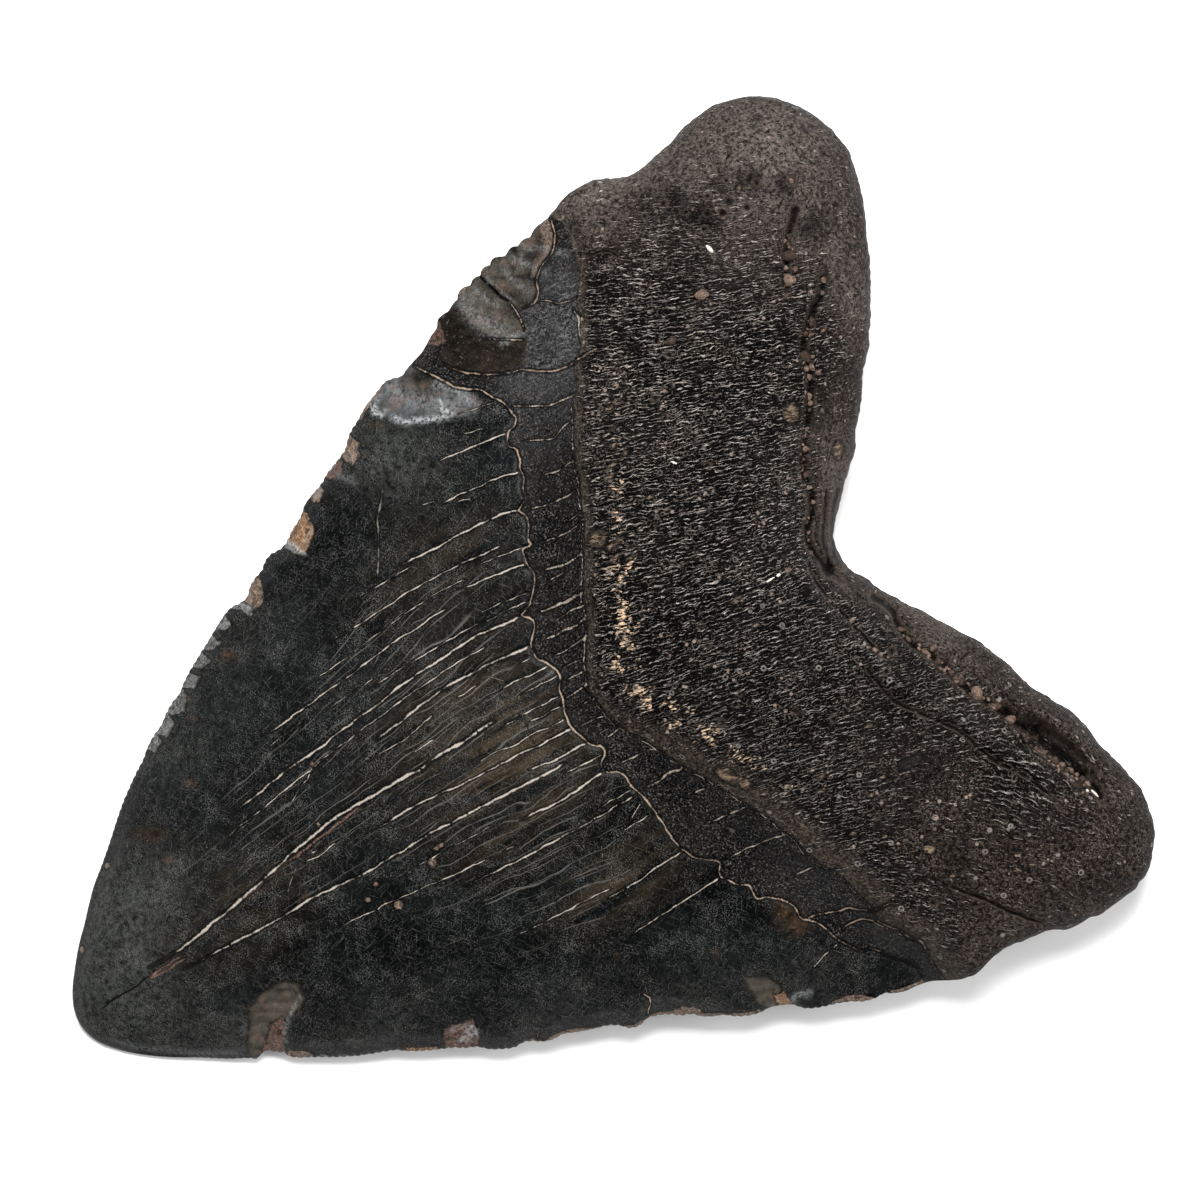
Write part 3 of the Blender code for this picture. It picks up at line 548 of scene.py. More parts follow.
# %% Chips and scars of the crown
SCARS = [  # colour, depth, softness, polygon
    ("olive", 0.55, 0.9, [(-43.4, 17.8), (-41.2, 18.2), (-39.9, 18.5), (-38, 18.9), (-35.4, 19.1),
        (-34.8, 18.2), (-35.2, 17.3), (-36.5, 16), (-38, 15), (-40.5, 14.6), (-43, 15.3)]),
    ("umber", 1, 1.6, [(-34.4, 18.8), (-33.2, 18), (-32.3, 17), (-32.3, 15.8), (-32.8, 14.3),
        (-34.5, 12.3), (-36.5, 10.6), (-38.5, 11.3), (-42, 12.8), (-40.5, 14.7), (-36.5, 15.2),
        (-35, 17.3)]),
    ("silver", 0.45, 0.7, [(-39.6, 7.6), (-38, 7.6), (-35, 9.3), (-33, 11), (-31.3, 11.6),
        (-30.7, 10.5), (-31.5, 8.5), (-32, 7), (-33.5, 5), (-35, 3.2), (-36.2, 2), (-37.4, 2.6),
        (-39.4, 4.2)]),
    ("tan", 0.15, 0.4, [(-44.6, 27.4), (-42.5, 26.7), (-41.2, 26.2), (-40.2, 24.9), (-39.6, 23.3),
        (-38.6, 22.6), (-39.4, 22.4), (-40.6, 23.5), (-41.4, 24.8), (-42.6, 25.6), (-44.4, 26)]),
    ("tan", 0.12, 0.3, [(-44.6, 19.4), (-43.3, 18.2), (-42.8, 17), (-42.2, 14), (-41.2, 12.6),
        (-40.7, 12.8), (-41.6, 14.6), (-42.2, 17.2), (-42.8, 18.4), (-43.8, 20.4)]),
    ("tan", 0.12, 0.3, [(-45.2, 26.8), (-44.2, 23.8), (-43.9, 20.4), (-43.1, 20.4), (-43.3, 23.4),
        (-44.2, 26.6)]),
    ("olive", 0.6, 1, [(-44.6, 27.4), (-42.5, 26.7), (-41.2, 26.2), (-40.2, 24.9), (-39.6, 23.3),
        (-38.2, 22.3), (-37.3, 21.4), (-37, 19.9), (-38.3, 19.4), (-40.2, 18.9), (-41.6, 18.5),
        (-44.4, 18.2)]),
    ("red", 0.35, 0.4, [(-40.6, 12.4), (-38.5, 11.8), (-38.6, 10.9), (-39.9, 9.4)]),
    ("tan", 0.3, 0.4, [(-39.3, 4.6), (-38.2, 4.3), (-37.7, 3.1), (-37.2, 1.8), (-36.5, 0.6),
        (-37.1, -0.6)]),
    ("tan", 0.35, 0.3, [(-36.1, -1.4), (-34.5, -0.9), (-34.1, -1.5), (-33.4, -1.4), (-33, -2.6),
        (-33.8, -3), (-35.2, -3)]),
    ("red", 0.3, 0.3, [(-35, -3.6), (-33.9, -3.3), (-33, -4), (-32.8, -5.1), (-33.3, -5.5),
        (-34.4, -5)]),
    ("tan", 0.25, 0.3, [(-33.8, -6.5), (-33, -6.4), (-32.3, -6.5), (-31.7, -7.3), (-32, -8),
        (-33.2, -7.9)]),
    ("orange", 0.5, 0.3, [(-31.6, -9), (-30.6, -9.2), (-29.5, -9.2), (-28.8, -10.2),
        (-28.2, -11.1), (-28.3, -11.7), (-29.3, -11.8), (-30.2, -12.3), (-31.6, -12)]),
    ("shard", 0.45, 0.25, [(-30.9, -12.4), (-30, -12.2), (-29.3, -11.9), (-28.4, -11.5),
        (-27.8, -11.1), (-28, -11.6), (-28.6, -12.1), (-29.6, -12.8)]),
    ("tan", 0.35, 0.3, [(-29.6, -17.2), (-28.3, -16.6), (-26.9, -16.9), (-26, -17.9),
        (-26.2, -18.6), (-27.2, -19), (-28.6, -18.4)]),
    ("shard", 0.3, 0.25, [(-28.4, -20.6), (-27.1, -19.2), (-26.2, -18.6), (-25.7, -19.2),
        (-26.6, -19.8), (-27.8, -21)]),
    ("shard", 0.25, 0.4, [(-27.8, -21.6), (-26, -21.4), (-25.8, -22.4), (-27, -23.6)]),
    ("shard", 0.25, 0.4, [(-26.8, -23.8), (-25, -23.4), (-24.9, -24.5), (-26, -25.8)]),
    ("shard", 0.25, 0.4, [(-25.8, -25.6), (-24, -25.2), (-23.8, -26.3), (-25, -27.7)]),
    ("shard", 0.25, 0.4, [(-24.6, -28), (-23.2, -26.9), (-22.6, -28), (-23.6, -29.6)]),
    ("shard", 0.45, 0.5, [(-23.8, -29.2), (-22.4, -29), (-21.2, -30), (-21.5, -31.4),
        (-22.9, -31.8)]),
    ("shard", 0.4, 0.4, [(-22.4, -31.6), (-20.6, -31.6), (-20, -32.9), (-20.9, -34),
        (-22.2, -33.2)]),
    ("shard", 0.2, 0.3, [(-21.6, -33.8), (-19.8, -33.6), (-19.3, -34.8), (-20.6, -35.8)]),
    ("olive", 0.9, 1, [(8, -34.8), (9.6, -34.9), (10.3, -36.5), (10.2, -38), (11.2, -39.6),
        (12.3, -40.5), (13.4, -41.6), (12.8, -43.4), (10.5, -42.3), (9, -41), (7.7, -40),
        (7, -38.3), (7, -36.5), (7.4, -35.3)]),
    ("red", 0.2, 0.3, [(10.1, -37.8), (11.2, -38.1), (12.4, -39.4), (13.4, -39.7), (12.9, -40.9),
        (12.3, -42), (11.5, -41), (10.8, -40), (10.2, -39.2)]),
    ("tan", 0.15, 0.3, [(14.9, -37.3), (15.4, -37.9), (13.9, -40), (13.3, -39.3)]),
    ("shard", 0.2, 0.3, [(16.9, -35.4), (15.6, -36.4), (15.2, -37.4), (16, -38), (17.2, -36.2)]),
    ("shard", 0.2, 0.3, [(17.8, -33.6), (16.6, -34.7), (16.4, -35.4), (17, -36), (18, -34.2)]),
    ("shard", 0.2, 0.3, [(18.8, -31), (17.6, -33.2), (17.9, -34.4), (19.4, -31.4)]),
    ("orange", 0.2, 0.3, [(19.1, -29.3), (20.2, -27.7), (20.8, -26.3), (21.8, -26.6), (20.4, -29)]),
    ("red", 0.4, 0.5, [(20.2, -21.8), (21.2, -21.9), (22.7, -22.6), (23.2, -23.4), (21.8, -26),
        (19.6, -24.8)]),
    ("tan", 0.3, 0.3, [(25, -18.2), (26, -17), (26.1, -15.5), (26.2, -14.5), (26.8, -13.3),
        (27.8, -11.2), (28.4, -10), (29.1, -9), (29.4, -8), (29.2, -7.2), (29.5, -5.8), (30, -5),
        (30.3, -3.4), (30.9, -2.4), (31.6, -2), (32.6, -2.4), (31.2, -5.4), (30.4, -8.4),
        (28.6, -11.4), (27, -15.4), (26, -18.6)]),
    ("tan", 0.2, 0.3, [(31.9, -2.2), (32.9, -0.4), (33.9, 1), (34.6, 3), (35.4, 3.2), (34.2, 0),
        (32.9, -2.2)]),
    ("orange", 0.3, 0.35, [(34.1, 5), (35.2, 4.9), (36.2, 6), (35.4, 6.2), (34.4, 5.9)]),
    ("olive", 0.35, 0.9, [(31, 3.5), (34, 3.4), (35.4, 4.2), (34.6, 5.2), (33.6, 6), (32, 5.4)]),
    ("tan", 0.2, 0.3, [(37.7, 9.6), (38.1, 11), (38.8, 12.4), (39.6, 13.4), (40.2, 13), (39.2, 11),
        (38.3, 9.3)]),
    ("tan", 0.2, 0.3, [(39.9, 15), (40.3, 16), (40.6, 17), (40.6, 18.4), (41.5, 18.4), (41, 16),
        (40.3, 14.8)]),
]
print("chips and scars:", len(SCARS))

# %% [markdown]
# ## Stains, painted shade and painted highlights
# Iron and manganese in the ground water left blots, mostly small. A stain is an ellipse:
# its colour, place, length, width and turn. The brown glow in the upper middle of the crown is
# where light gets into thin enamel above brown dentine. After the stains come painted shade,
# dark soft strokes where the relief of the flakes falls into shadow, and painted highlights,
# pale soft strokes where facets, chip rims and rounded edges would catch the light.

# %% Stains, painted shade and painted highlights
STAINS = [  # colour, x, y, length, width, turn in degrees
    ("umber", 27.9, 10.6, 5, 3, 10), ("olive", -35.9, 7.2, 3.4, 2.2, 40),
    ("rust", 28.9, 10.9, 2.4, 1.3, 0), ("rust", 27.2, 10.3, 1.8, 0.9, 0),
    ("rust", 27.3, 2.4, 0.5, 0.5, 0), ("rust", 22.4, -6.1, 0.5, 0.5, 0),
    ("red", -9.8, -21.6, 0.5, 0.4, 0), ("tan", -4.4, -24.2, 0.6, 0.4, 0),
    ("red", 3.6, -22.5, 0.4, 0.4, 0), ("tan", 4.5, -24, 0.4, 0.4, 0),
    ("tan", 4.7, -16.6, 0.8, 0.8, 0), ("tan", 6.5, -21.7, 0.8, 0.8, 0),
    ("tan", 3.7, -15.2, 1.4, 0.4, 90), ("rust", 0.95, -29.3, 1.4, 0.5, 90),
    ("rust", -14.7, -33.2, 1.2, 0.7, 50), ("rust", -23.6, -23.4, 1.8, 1, 80),
    ("rust", -22, -29, 0.8, 0.5, 40), ("rust", -20.2, -29.8, 0.8, 0.5, 60),
    ("rust", -9.3, -39.1, 1, 0.6, 45), ("umber", -12.5, -39.5, 3.4, 1.6, 60),
    ("rust", -13.8, -43.3, 0.7, 0.5, 120), ("tan", -12.1, -45, 0.7, 0.5, 120),
    ("rust", -10.2, -48, 0.7, 0.5, 130), ("rust", -8.1, -48.9, 0.8, 0.5, 130),
    ("rust", -7.2, -50.6, 0.7, 0.5, 130), ("tan", -6.3, -51.7, 0.7, 0.5, 130),
    ("rust", -35.3, 1.1, 0.9, 0.4, 70), ("rust", -34.8, 1.9, 0.6, 0.3, 30),
    ("rust", -32.9, 8.2, 0.5, 0.4, 0), ("tan", -13.7, 14.2, 1.9, 1.6, 100),
    ("rust", -7.2, 11.3, 1.4, 0.9, 90), ("tan", -14.2, 36.9, 2, 1.5, 140),
    ("tan", -8.6, 39, 1.8, 0.9, 140), ("tan", 12.5, 12.6, 2.2, 1.2, 30),
    ("tan", 14.2, 13.7, 1.6, 0.9, 30), ("tan", -24, 21.9, 1, 0.4, 100),
    ("tan", -22, 21.1, 0.8, 0.4, 100), ("tan", -20.6, 20.3, 0.9, 0.5, 100),
    ("tan", -19.3, 20.9, 0.8, 0.4, 100), ("tan", -14.4, 20.7, 0.9, 0.5, 95),
    ("tan", 1.6, 22.7, 0.9, 0.4, 90), ("tan", -1.5, 22.5, 1.6, 0.4, 90),
    ("tan", 15.8, 27, 0.9, 0.5, 80), ("tan", 17.5, 20.5, 0.9, 0.5, 80),
    ("tan", 18.8, 19.8, 0.9, 0.5, 80), ("tan", 20.7, 18, 0.9, 0.5, 80),
    ("tan", 24.1, 20.1, 0.9, 0.5, 75), ("tan", 26, 22.6, 0.8, 0.4, 75),
    ("tan", 28.7, 22.3, 0.8, 0.4, 75), ("tan", 29.4, 25.7, 1.2, 0.9, 75),
    ("tan", 20.8, 27, 0.8, 0.4, 80), ("tan", 20.8, 25.5, 0.8, 0.4, 80),
    ("tan", 21.8, 23.6, 0.8, 0.4, 80), ("tan", 32.9, 26.3, 0.8, 0.5, 70),
    ("tan", 36.1, 33.5, 0.9, 0.6, 60), ("tan", 35.8, 31.9, 0.9, 0.6, 60),
    ("tan", -19.4, 44, 0.9, 0.6, 120), ("tan", -35.6, 44.2, 0.9, 0.6, 120),
    ("tan", -34, 41.5, 0.9, 0.6, 120), ("tan", -36.3, 39.3, 0.9, 0.6, 120),
    ("silver", 21, 28.5, 2.8, 0.9, 85), ("silver", 17.6, 10.2, 0.9, 0.5, 20),
    ("rust", -28.6, 35.5, 1.2, 0.8, 30), ("tan", -19, 19, 1.9, 0.4, 95),
    ("tan", -18.2, 18.4, 1.6, 0.35, 95), ("tan", -12.4, 15.4, 2.4, 0.45, 93),
    ("tan", -11.2, 14.6, 2, 0.4, 93), ("tan", -10.4, 16, 1.6, 0.35, 93),
    ("silver", -12.9, 40, 0.5, 0.3, 0), ("silver", -37.3, 53, 0.5, 0.35, 0),
    ("silver", -34.5, 53.4, 0.5, 0.35, 0), ("silver", -9, 22.9, 0.6, 0.25, 90),
    ("silver", 8.6, 25, 0.6, 0.25, 90),
]
GLOWS = [  # x, y, reach across, reach along, strength
    (-4, -5, 8, 9, 0.75), (0.3, -3, 2.2, 8, 0.7), (16, -1.5, 3, 6, 0.9), (6, -6, 3, 8, 0.5),
    (-20, 0, 4, 7, 0.35), (-2, -36, 5, 9, 0.35),
]
# Painted shade: dark soft strokes in the valleys and hollows of the flakes, where shadow falls.
PAINTED_SHADES = [  # half width, strength, route
    (0.8, 0.8, [(-43.2, 22.3), (-41.9, 22.8), (-41.3, 23.3), (-40.6, 24.2)]),
    (0.55, 0.7, [(-43.2, 24.8), (-42.2, 25.1), (-41.2, 24.9)]),
    (0.3, 0.6, [(-43, 20), (-42.1, 21), (-40.8, 21.2), (-40.7, 20.2), (-41.6, 19.2)]),
    (0.45, 0.6, [(-40.5, 20.9), (-39.4, 22.2), (-38.8, 22.7)]),
    (0.9, 0.6, [(-39.5, 19.6), (-38.2, 20), (-37.4, 20.6)]),
    (1.6, 0.7, [(-40.5, 13.2), (-38.5, 12.6), (-36.5, 12.2), (-35, 12.6)]),
    (0.7, 0.5, [(-38.2, 16.6), (-37, 16.9), (-36.2, 17.6)]),
    (1.1, 0.75, [(-37.2, 7), (-36.1, 8.3), (-35.2, 8.2), (-35.3, 6.4), (-34.6, 6.2)]),
    (0.7, 0.5, [(-33.6, 9.3), (-32.6, 9.6), (-31.8, 10.2)]),
]
# Painted highlights: pale soft strokes where flake facets, chip rims and rounded edges would catch
# the light.
PAINTED_HIGHLIGHTS = [  # half width, strength, route
    (0.22, 0.4, [(-41.9, 18.45), (-40, 19.05), (-37.9, 19.5)]),
    (0.45, 0.35, [(-43.3, 23.4), (-42, 23.6), (-41.5, 24.1)]),
    (0.45, 0.35, [(-43.5, 21.6), (-42, 21.9), (-40.7, 22.4)]),
    (0.25, 0.9, [(20.2, -24.4), (20.3, -23), (20.9, -22.2), (22.3, -22.2)]),
    (0.25, 0.7, [(20.7, -22.8), (21.6, -23.9)]),
    (0.22, 0.7, [(21.3, -22.5), (22.3, -23.7)]),
    (2, 0.3, [(-38, 4.6), (-36.2, 5.2), (-34.6, 6.6), (-33, 8.6), (-31.6, 10.4)]),
    (0.5, 1, [(-34.9, 3.3), (-33.9, 4.1), (-33.3, 5.1), (-32.5, 6.7), (-32, 8), (-31.9, 8.5)]),
    (0.3, 0.8, [(-37.1, 2.2), (-36.2, 2.1), (-35.7, 2.6), (-35.8, 3.4)]),
    (0.28, 0.8, [(-33.8, 8.3), (-32.9, 8), (-32, 8.6)]),
    (0.75, 0.45, [(-35.4, 8.5), (-34.5, 9.6), (-33.1, 10.4), (-31.5, 11.1)]),
    (0.5, 0.6, [(-37.4, 3.3), (-36.9, 2.4), (-36.3, 2), (-35.7, 2.6)]),
    (1.7, 0.3, [(-41.2, 15.7), (-39.5, 15.5), (-37.5, 16.3), (-35.7, 17.6)]),
    (0.6, 0.3, [(-42, 17), (-40.4, 17.3), (-38.6, 18.2)]),
    (0.5, 0.35, [(-39.2, 26.6), (-40.6, 25.2), (-41.8, 24.6)]),
    (0.5, 0.3, [(-38.6, 24), (-40.2, 22.9), (-41.8, 22.6)]),
    (0.6, 0.3, [(-38.2, 21.5), (-39.8, 20.8), (-42, 20.6)]),
    (0.3, 0.45, [(9.2, -35.1), (9.9, -36.3), (10.5, -37.4), (11.9, -38.7), (13.3, -39.6)]),
    (0.5, 0.5, [(21, -22.3), (21.6, -23.3), (21.3, -24.6)]),
    (0.4, 0.6, [(35.7, 8.3), (35.9, 8), (35.3, 7.4), (35.3, 6.7), (35.9, 6.2)]),
    (0.3, 0.2, [(8.5, -41.3), (9.4, -42)]),
    (0.3, 0.9, [(-30.2, -12.3), (-29.3, -11.95), (-28.5, -11.6), (-28, -11.2)]),
    (0.28, 0.55, [(-27.2, -19.6), (-26.5, -19), (-26, -18.6)]),
    (0.28, 0.45, [(-33.9, -1.9), (-33.4, -2.9)]),
    (0.28, 0.45, [(-34.4, -3.8), (-33.6, -4.9)]),
    (0.28, 0.45, [(-32.9, -6.7), (-32.1, -7.7)]),
    (0.28, 0.4, [(-29.8, -9.5), (-28.9, -11)]),
    (0.7, 0.22, [(-33.1, -4.6), (-32.2, -3.7), (-31.4, -3.3)]),
    (0.45, 0.2, [(11, -43.6), (8.6, -47.4), (6.6, -50.1), (5, -52.2), (2.6, -54.2)]),
    (0.35, 0.7, [(-35, 16.3), (-35.3, 17.4), (-35, 18.6)]),
]
print("stains:", len(STAINS), "and", len(GLOWS), "brown glows")

# %% [markdown]
# ## Points for the surface
# The surface starts as a flat sheet of small triangles, seen from above. Most points sit on an
# even lattice. Extra rows follow the rim, and every crack, groove and scar brings its own
# points, so that a line a quarter of a millimetre wide has a clean edge.

# %% Helpers that measure on the flat sheet
def tree_of(points):
    """A tree that answers which of these points is nearest to a place."""
    tree = kdtree.KDTree(len(points))
    for index, (x, y) in enumerate(points.tolist()):
        tree.insert((x, y, 0.0), index)
    tree.balance()
    return tree


def nearest(tree, points):
    """Index of the nearest point, and the distance to it, for each place."""
    found = [tree.find((x, y, 0.0)) for x, y in points.tolist()]
    return np.array([item[1] for item in found]), np.array([item[2] for item in found])


def inside_depth(points, polygon):
    """How deep inside a polygon each point lies, in mm; negative outside."""
    corners = np.array(polygon, float)
    depth = np.full(len(points), -9.0)
    low, high = corners.min(axis=0) - 2.0, corners.max(axis=0) + 2.0
    near = np.flatnonzero(((points > low) & (points < high)).all(axis=1))
    ax, ay = corners.T
    bx, by = np.roll(corners, -1, axis=0).T
    rise = np.where(by == ay, 1e-9, by - ay)
    for some in np.array_split(near, len(near) // 8000 + 1):
        x, y = points[some, :1], points[some, 1:2]
        crossed = ((ay > y) != (by > y)) & (x < ax + (bx - ax) * (y - ay) / rise)
        inside = crossed.sum(axis=1) % 2 == 1
        part = ((x - ax) * (bx - ax) + (y - ay) * (by - ay)) / ((bx - ax) ** 2 + (by - ay) ** 2)
        part = np.clip(part, 0.0, 1.0)
        gap = np.hypot(x - ax - part * (bx - ax), y - ay - part * (by - ay)).min(axis=1)
        depth[some] = np.where(inside, gap, -gap)
    return depth


def thinned(points, gap):
    """Drops points that lie closer than a gap to an earlier one."""
    cells = {}
    chosen = []
    for x, y in points.tolist():
        column, row = math.floor(x / gap), math.floor(y / gap)
        close = any((x - other[0]) ** 2 + (y - other[1]) ** 2 < gap * gap
                    for side in (-1, 0, 1) for above in (-1, 0, 1)
                    for other in cells.get((column + side, row + above), ()))
        if not close:
            cells.setdefault((column, row), []).append((x, y))
            chosen.append((x, y))
    return np.array(chosen)


rim_tree = tree_of(rim)
print("rim tree of", len(rim), "points")

# %% Rows along routes, round scars and inside the rim
ROUTE_STEP = 0.42            # distance between the points of a route's rows
POINT_GAP = 0.11             # of two points closer than this, the later one is dropped
RIM_CLEARANCE = 0.12
RIM_ROWS = [(0.22, 0.24), (0.50, 0.30), (0.85, 0.36)]    # how far in, and the step along


def crooked(route, step):
    """Points along a route that wanders a little, the way a crack does."""
    line = along_route(route, step)
    sway = [noise_at(line, 0.9, seed) + 0.5 * noise_at(line, 2.3, seed) for seed in (41.0, 42.0)]
    return line + 0.13 * np.column_stack(sway)


def beside(route, offset, step):
    """A row of points at one side of a route."""
    line = crooked(route, step)
    ahead = np.gradient(line, axis=0)
    ahead /= np.linalg.norm(ahead, axis=1)[:, None]
    return line + offset * np.column_stack([-ahead[:, 1], ahead[:, 0]])


def inner_row(inset, step):
    """A row of points inside the rim; those crowded by a notch are dropped."""
    skip = max(1, round(step / RIM_STEP))
    row = (plain_rim + inset * rim_inward)[::skip]
    gap = nearest(rim_tree, row)[1]
    return row[gap > 0.8 * inset]


def feature_rows():
    """Every extra point, the most important first."""
    rows = [inner_row(inset, step) for inset, step in RIM_ROWS]
    lines = [(0.2, ENAMEL_END[1:-1]), (0.2, ROOT_START[1:-1])]
    lines += PALE_CRACKS + RED_CRACKS + SCRATCHES + BAND_CRACKS + TAN_CRACKS
    rows += [beside(route, 0.0, ROUTE_STEP) for width, route in lines]
    rows += [beside(route, side * width, ROUTE_STEP) for width, route in lines for side in (-1, 1)]
    rows += [beside(route, side * width, ROUTE_STEP)
             for width, depth, route in ROOT_GROOVES + ROOT_RIDGES
             for side in (0.0, -0.5, 0.5, -1.0, 1.0)]
    for colour, depth, softness, polygon in SCARS:
        ring = np.array(polygon + polygon[:1], float)
        steps = [np.linspace(a, b, max(2, round(np.hypot(*(b - a)) / 0.35)), endpoint=False)
                 for a, b in zip(ring, ring[1:])]
        rows.append(np.vstack(steps))
    around = [(math.cos(turn), math.sin(turn)) for turn in np.linspace(0.0, 5.4, 7)]
    small = [(x, y, length) for colour, x, y, length, width, turn in STAINS if length < 1.0]
    rows += [np.array([(x, y)] + [(x + 0.5 * size * cos, y + 0.5 * size * sin)
                                  for cos, sin in around]) for x, y, size in PITS + small]
    return np.vstack(rows)


def inside_rim(points, clearance):
    """Which points lie inside the rim and clear of it."""
    index, gap = nearest(rim_tree, points)
    facing = ((points - rim[index]) * rim_inward[index]).sum(axis=1)
    return (facing > 0.0) & (gap > clearance)


def lattice(step):
    """Points of a triangular lattice over the whole tooth."""
    low, high = rim.min(axis=0), rim.max(axis=0)
    x, y = np.meshgrid(np.arange(low[0], high[0], step),
                       np.arange(low[1], high[1], step * math.sqrt(0.75)))
    x[1::2] += 0.5 * step
    return np.column_stack([x.ravel(), y.ravel()])


features = thinned(feature_rows(), POINT_GAP)
features = features[inside_rim(features, RIM_CLEARANCE)]
print("feature points:", len(features))

# %% Join the points into triangles
TOP_STEP = 0.37              # lattice on the face that shows
UNDER_STEP = 0.75            # lattice on the face it lies on
CLEAR_OF_FEATURES = 0.24     # least room between lattice and feature points


def triangles(points, routes):
    """Even triangles between the rim and the points, with the routes kept as edges."""
    corners = [Vector(point) for point in rim.tolist()]
    edges = [(index, (index + 1) % len(rim)) for index in range(len(rim))]
    for route in routes:
        line = crooked(route, ROUTE_STEP)
        line = line[inside_rim(line, 0.15)]
        first = len(corners)
        corners += [Vector(point) for point in line.tolist()]
        edges += [(index, index + 1) for index in range(first, len(corners) - 1)]
    corners += [Vector(point) for point in points.tolist()]
    found = delaunay_2d_cdt(corners, edges, [], 1, 1e-4)
    place = np.array([point[:] for point in found[0]])
    faces = np.array([face[:3] for face in found[2]])
    source = {old: new for new, olds in enumerate(found[3]) for old in olds}
    ring = np.array([source[index] for index in range(len(rim))])
    a, b, c = (place[faces[:, corner]] for corner in range(3))
    area = (b[:, 0] - a[:, 0]) * (c[:, 1] - a[:, 1]) - (c[:, 0] - a[:, 0]) * (b[:, 1] - a[:, 1])
    faces[area < 0] = faces[area < 0][:, ::-1]
    return place, faces[np.abs(area) > 1e-9], ring


def fill(step, feature_points):
    """Lattice points that are clear of the rim and of the feature points."""
    points = lattice(step)
    points = points[inside_rim(points, RIM_ROWS[-1][0] + 0.3 * step)]
    gap = nearest(tree_of(feature_points), points)[1]
    return points[gap > max(CLEAR_OF_FEATURES, 0.45 * step)]


top_place, top_faces, top_ring = triangles(
    np.vstack([features, fill(TOP_STEP, features)]), [ENAMEL_END[1:-1], ROOT_START[1:-1]])
under_rows = thinned(np.vstack([inner_row(inset, 2.0 * step) for inset, step in RIM_ROWS]), 0.2)
under_rows = under_rows[inside_rim(under_rows, RIM_CLEARANCE)]
under_place, under_faces, under_ring = triangles(
    np.vstack([under_rows, fill(UNDER_STEP, under_rows)]), [UNDER_ROOT_START[1:-1]])
print("face that shows:", len(top_faces), "triangles; face below:", len(under_faces))

# %% [markdown]
# ## Relief
# The heights follow the solid model: a blade that is a flattened lens in section, a root that
# rises from a rounded rim to a swelling over each lobe, and a blend between them. The tooth
# rests on its tip and on both lobes, so the hidden face is a shallow vault.

# %% Height of the two faces
BLADE_EDGE = 0.35            # thickness left at the cutting edge
BEVEL_SLOPE = 1.25           # how steeply a broken edge rises
ROOT_RIM = 2.6               # thickness of the root at its rim
ROOT_BASE = 12.0
ROOT_BOSS = 9.5              # how much the middle of the root stands above that
LOBE_SWELL = 4.5
LOBE_REACH = 13.0
TOP_ROUNDING = 8.5           # how far in from the rim the root is rounded
UNDER_ROUNDING = 5.0
JUNCTION_BLEND = 6.0         # how far crown and root blend
HOLLOW_HEIGHT = 1.1          # height of the vault between the feet
BLADE_CENTRE_X = -1.3
HALF_WIDTH = [
    (-56.5, 3), (-54, 5.5), (-50, 8.6), (-45, 12.2), (-40, 15.8), (-30, 21.6), (-20, 26.8),
    (-10, 30.9), (0, 35.4), (10, 39.4), (20, 42.8), (60, 44.5),
]
CROWN_THICKNESS = [
    (-56.5, 1.6), (-53, 3.2), (-48, 5), (-40, 7.4), (-30, 9.8), (-20, 11.9), (-10, 13.8), (0, 15.4),
    (10, 17), (60, 17),
]
EDGE_LIFT = [
    (-56.5, 0.4), (-45, 0.6), (-30, 1.8), (-15, 3.6), (0, 5.2), (15, 5.8), (25, 4.6), (35, 1.6),
    (60, 0.6),
]
JUNCTION_Y = [
    (-45, 24), (-30, 17), (-20, 12.5), (-10, 6.5), (0, 4), (10, 6.5), (20, 10), (30, 14.5),
    (45, 21),
]
BOSS_CENTRE = (-1, 18)
BOSS_SPREAD = (25, 17)
LOBE_AXES = [((-13, 27), (-34, 44)), ((13, 25), (34, 37))]
FEET = [  # x, y, reach, depth
    (-0.5, -50, 14, 1.2), (-33, 45, 10, 2.1), (34, 38, 9, 2.1),
]


def read_between(pairs, at):
    """Values by straight lines between (place, value) pairs."""
    return np.interp(at, [place for place, value in pairs], [value for place, value in pairs])


def rounding(gap, reach):
    """Quarter-circle rise from 0 at the rim to 1 at the reach."""
    return np.sqrt(1.0 - (1.0 - np.minimum(gap / reach, 1)) ** 2)


def to_axis(points, axis):
    """Distance from each point to the straight line between an axis's two ends."""
    start, end = np.array(axis)
    along = end - start
    part = np.clip((points - start) @ along / (along @ along), 0, 1)
    return np.linalg.norm(points - start - part[:, None] * along, axis=1)


def root_share(points):
    """0 on the crown, 1 on the root."""
    start = read_between(JUNCTION_Y, points[:, 0]) - JUNCTION_BLEND / 3.0
    return smooth((points[:, 1] - start) / JUNCTION_BLEND)


def across(points):
    """0 on the blade's middle line, 1 at either cutting edge."""
    half_width = read_between(HALF_WIDTH, points[:, 1])
    return np.minimum(np.abs(points[:, 0] - BLADE_CENTRE_X) / half_width, 1)


def vault(points):
    """The shallow vault between the places where the tooth touches the table."""
    hollow = np.full(len(points), HOLLOW_HEIGHT)
    for x, y, reach, depth in FEET:
        hollow -= depth * np.exp(-((points[:, 0] - x) ** 2 + (points[:, 1] - y) ** 2) / reach ** 2)
    return hollow


def under_height(points, gap):
    """Height of the face that the tooth lies on."""
    lift = read_between(EDGE_LIFT, points[:, 1]) * across(points) ** 2
    curl = UNDER_ROUNDING * (1.0 - rounding(gap, UNDER_ROUNDING))
    return vault(points) + lift + root_share(points) * (curl - 0.5 * lift)


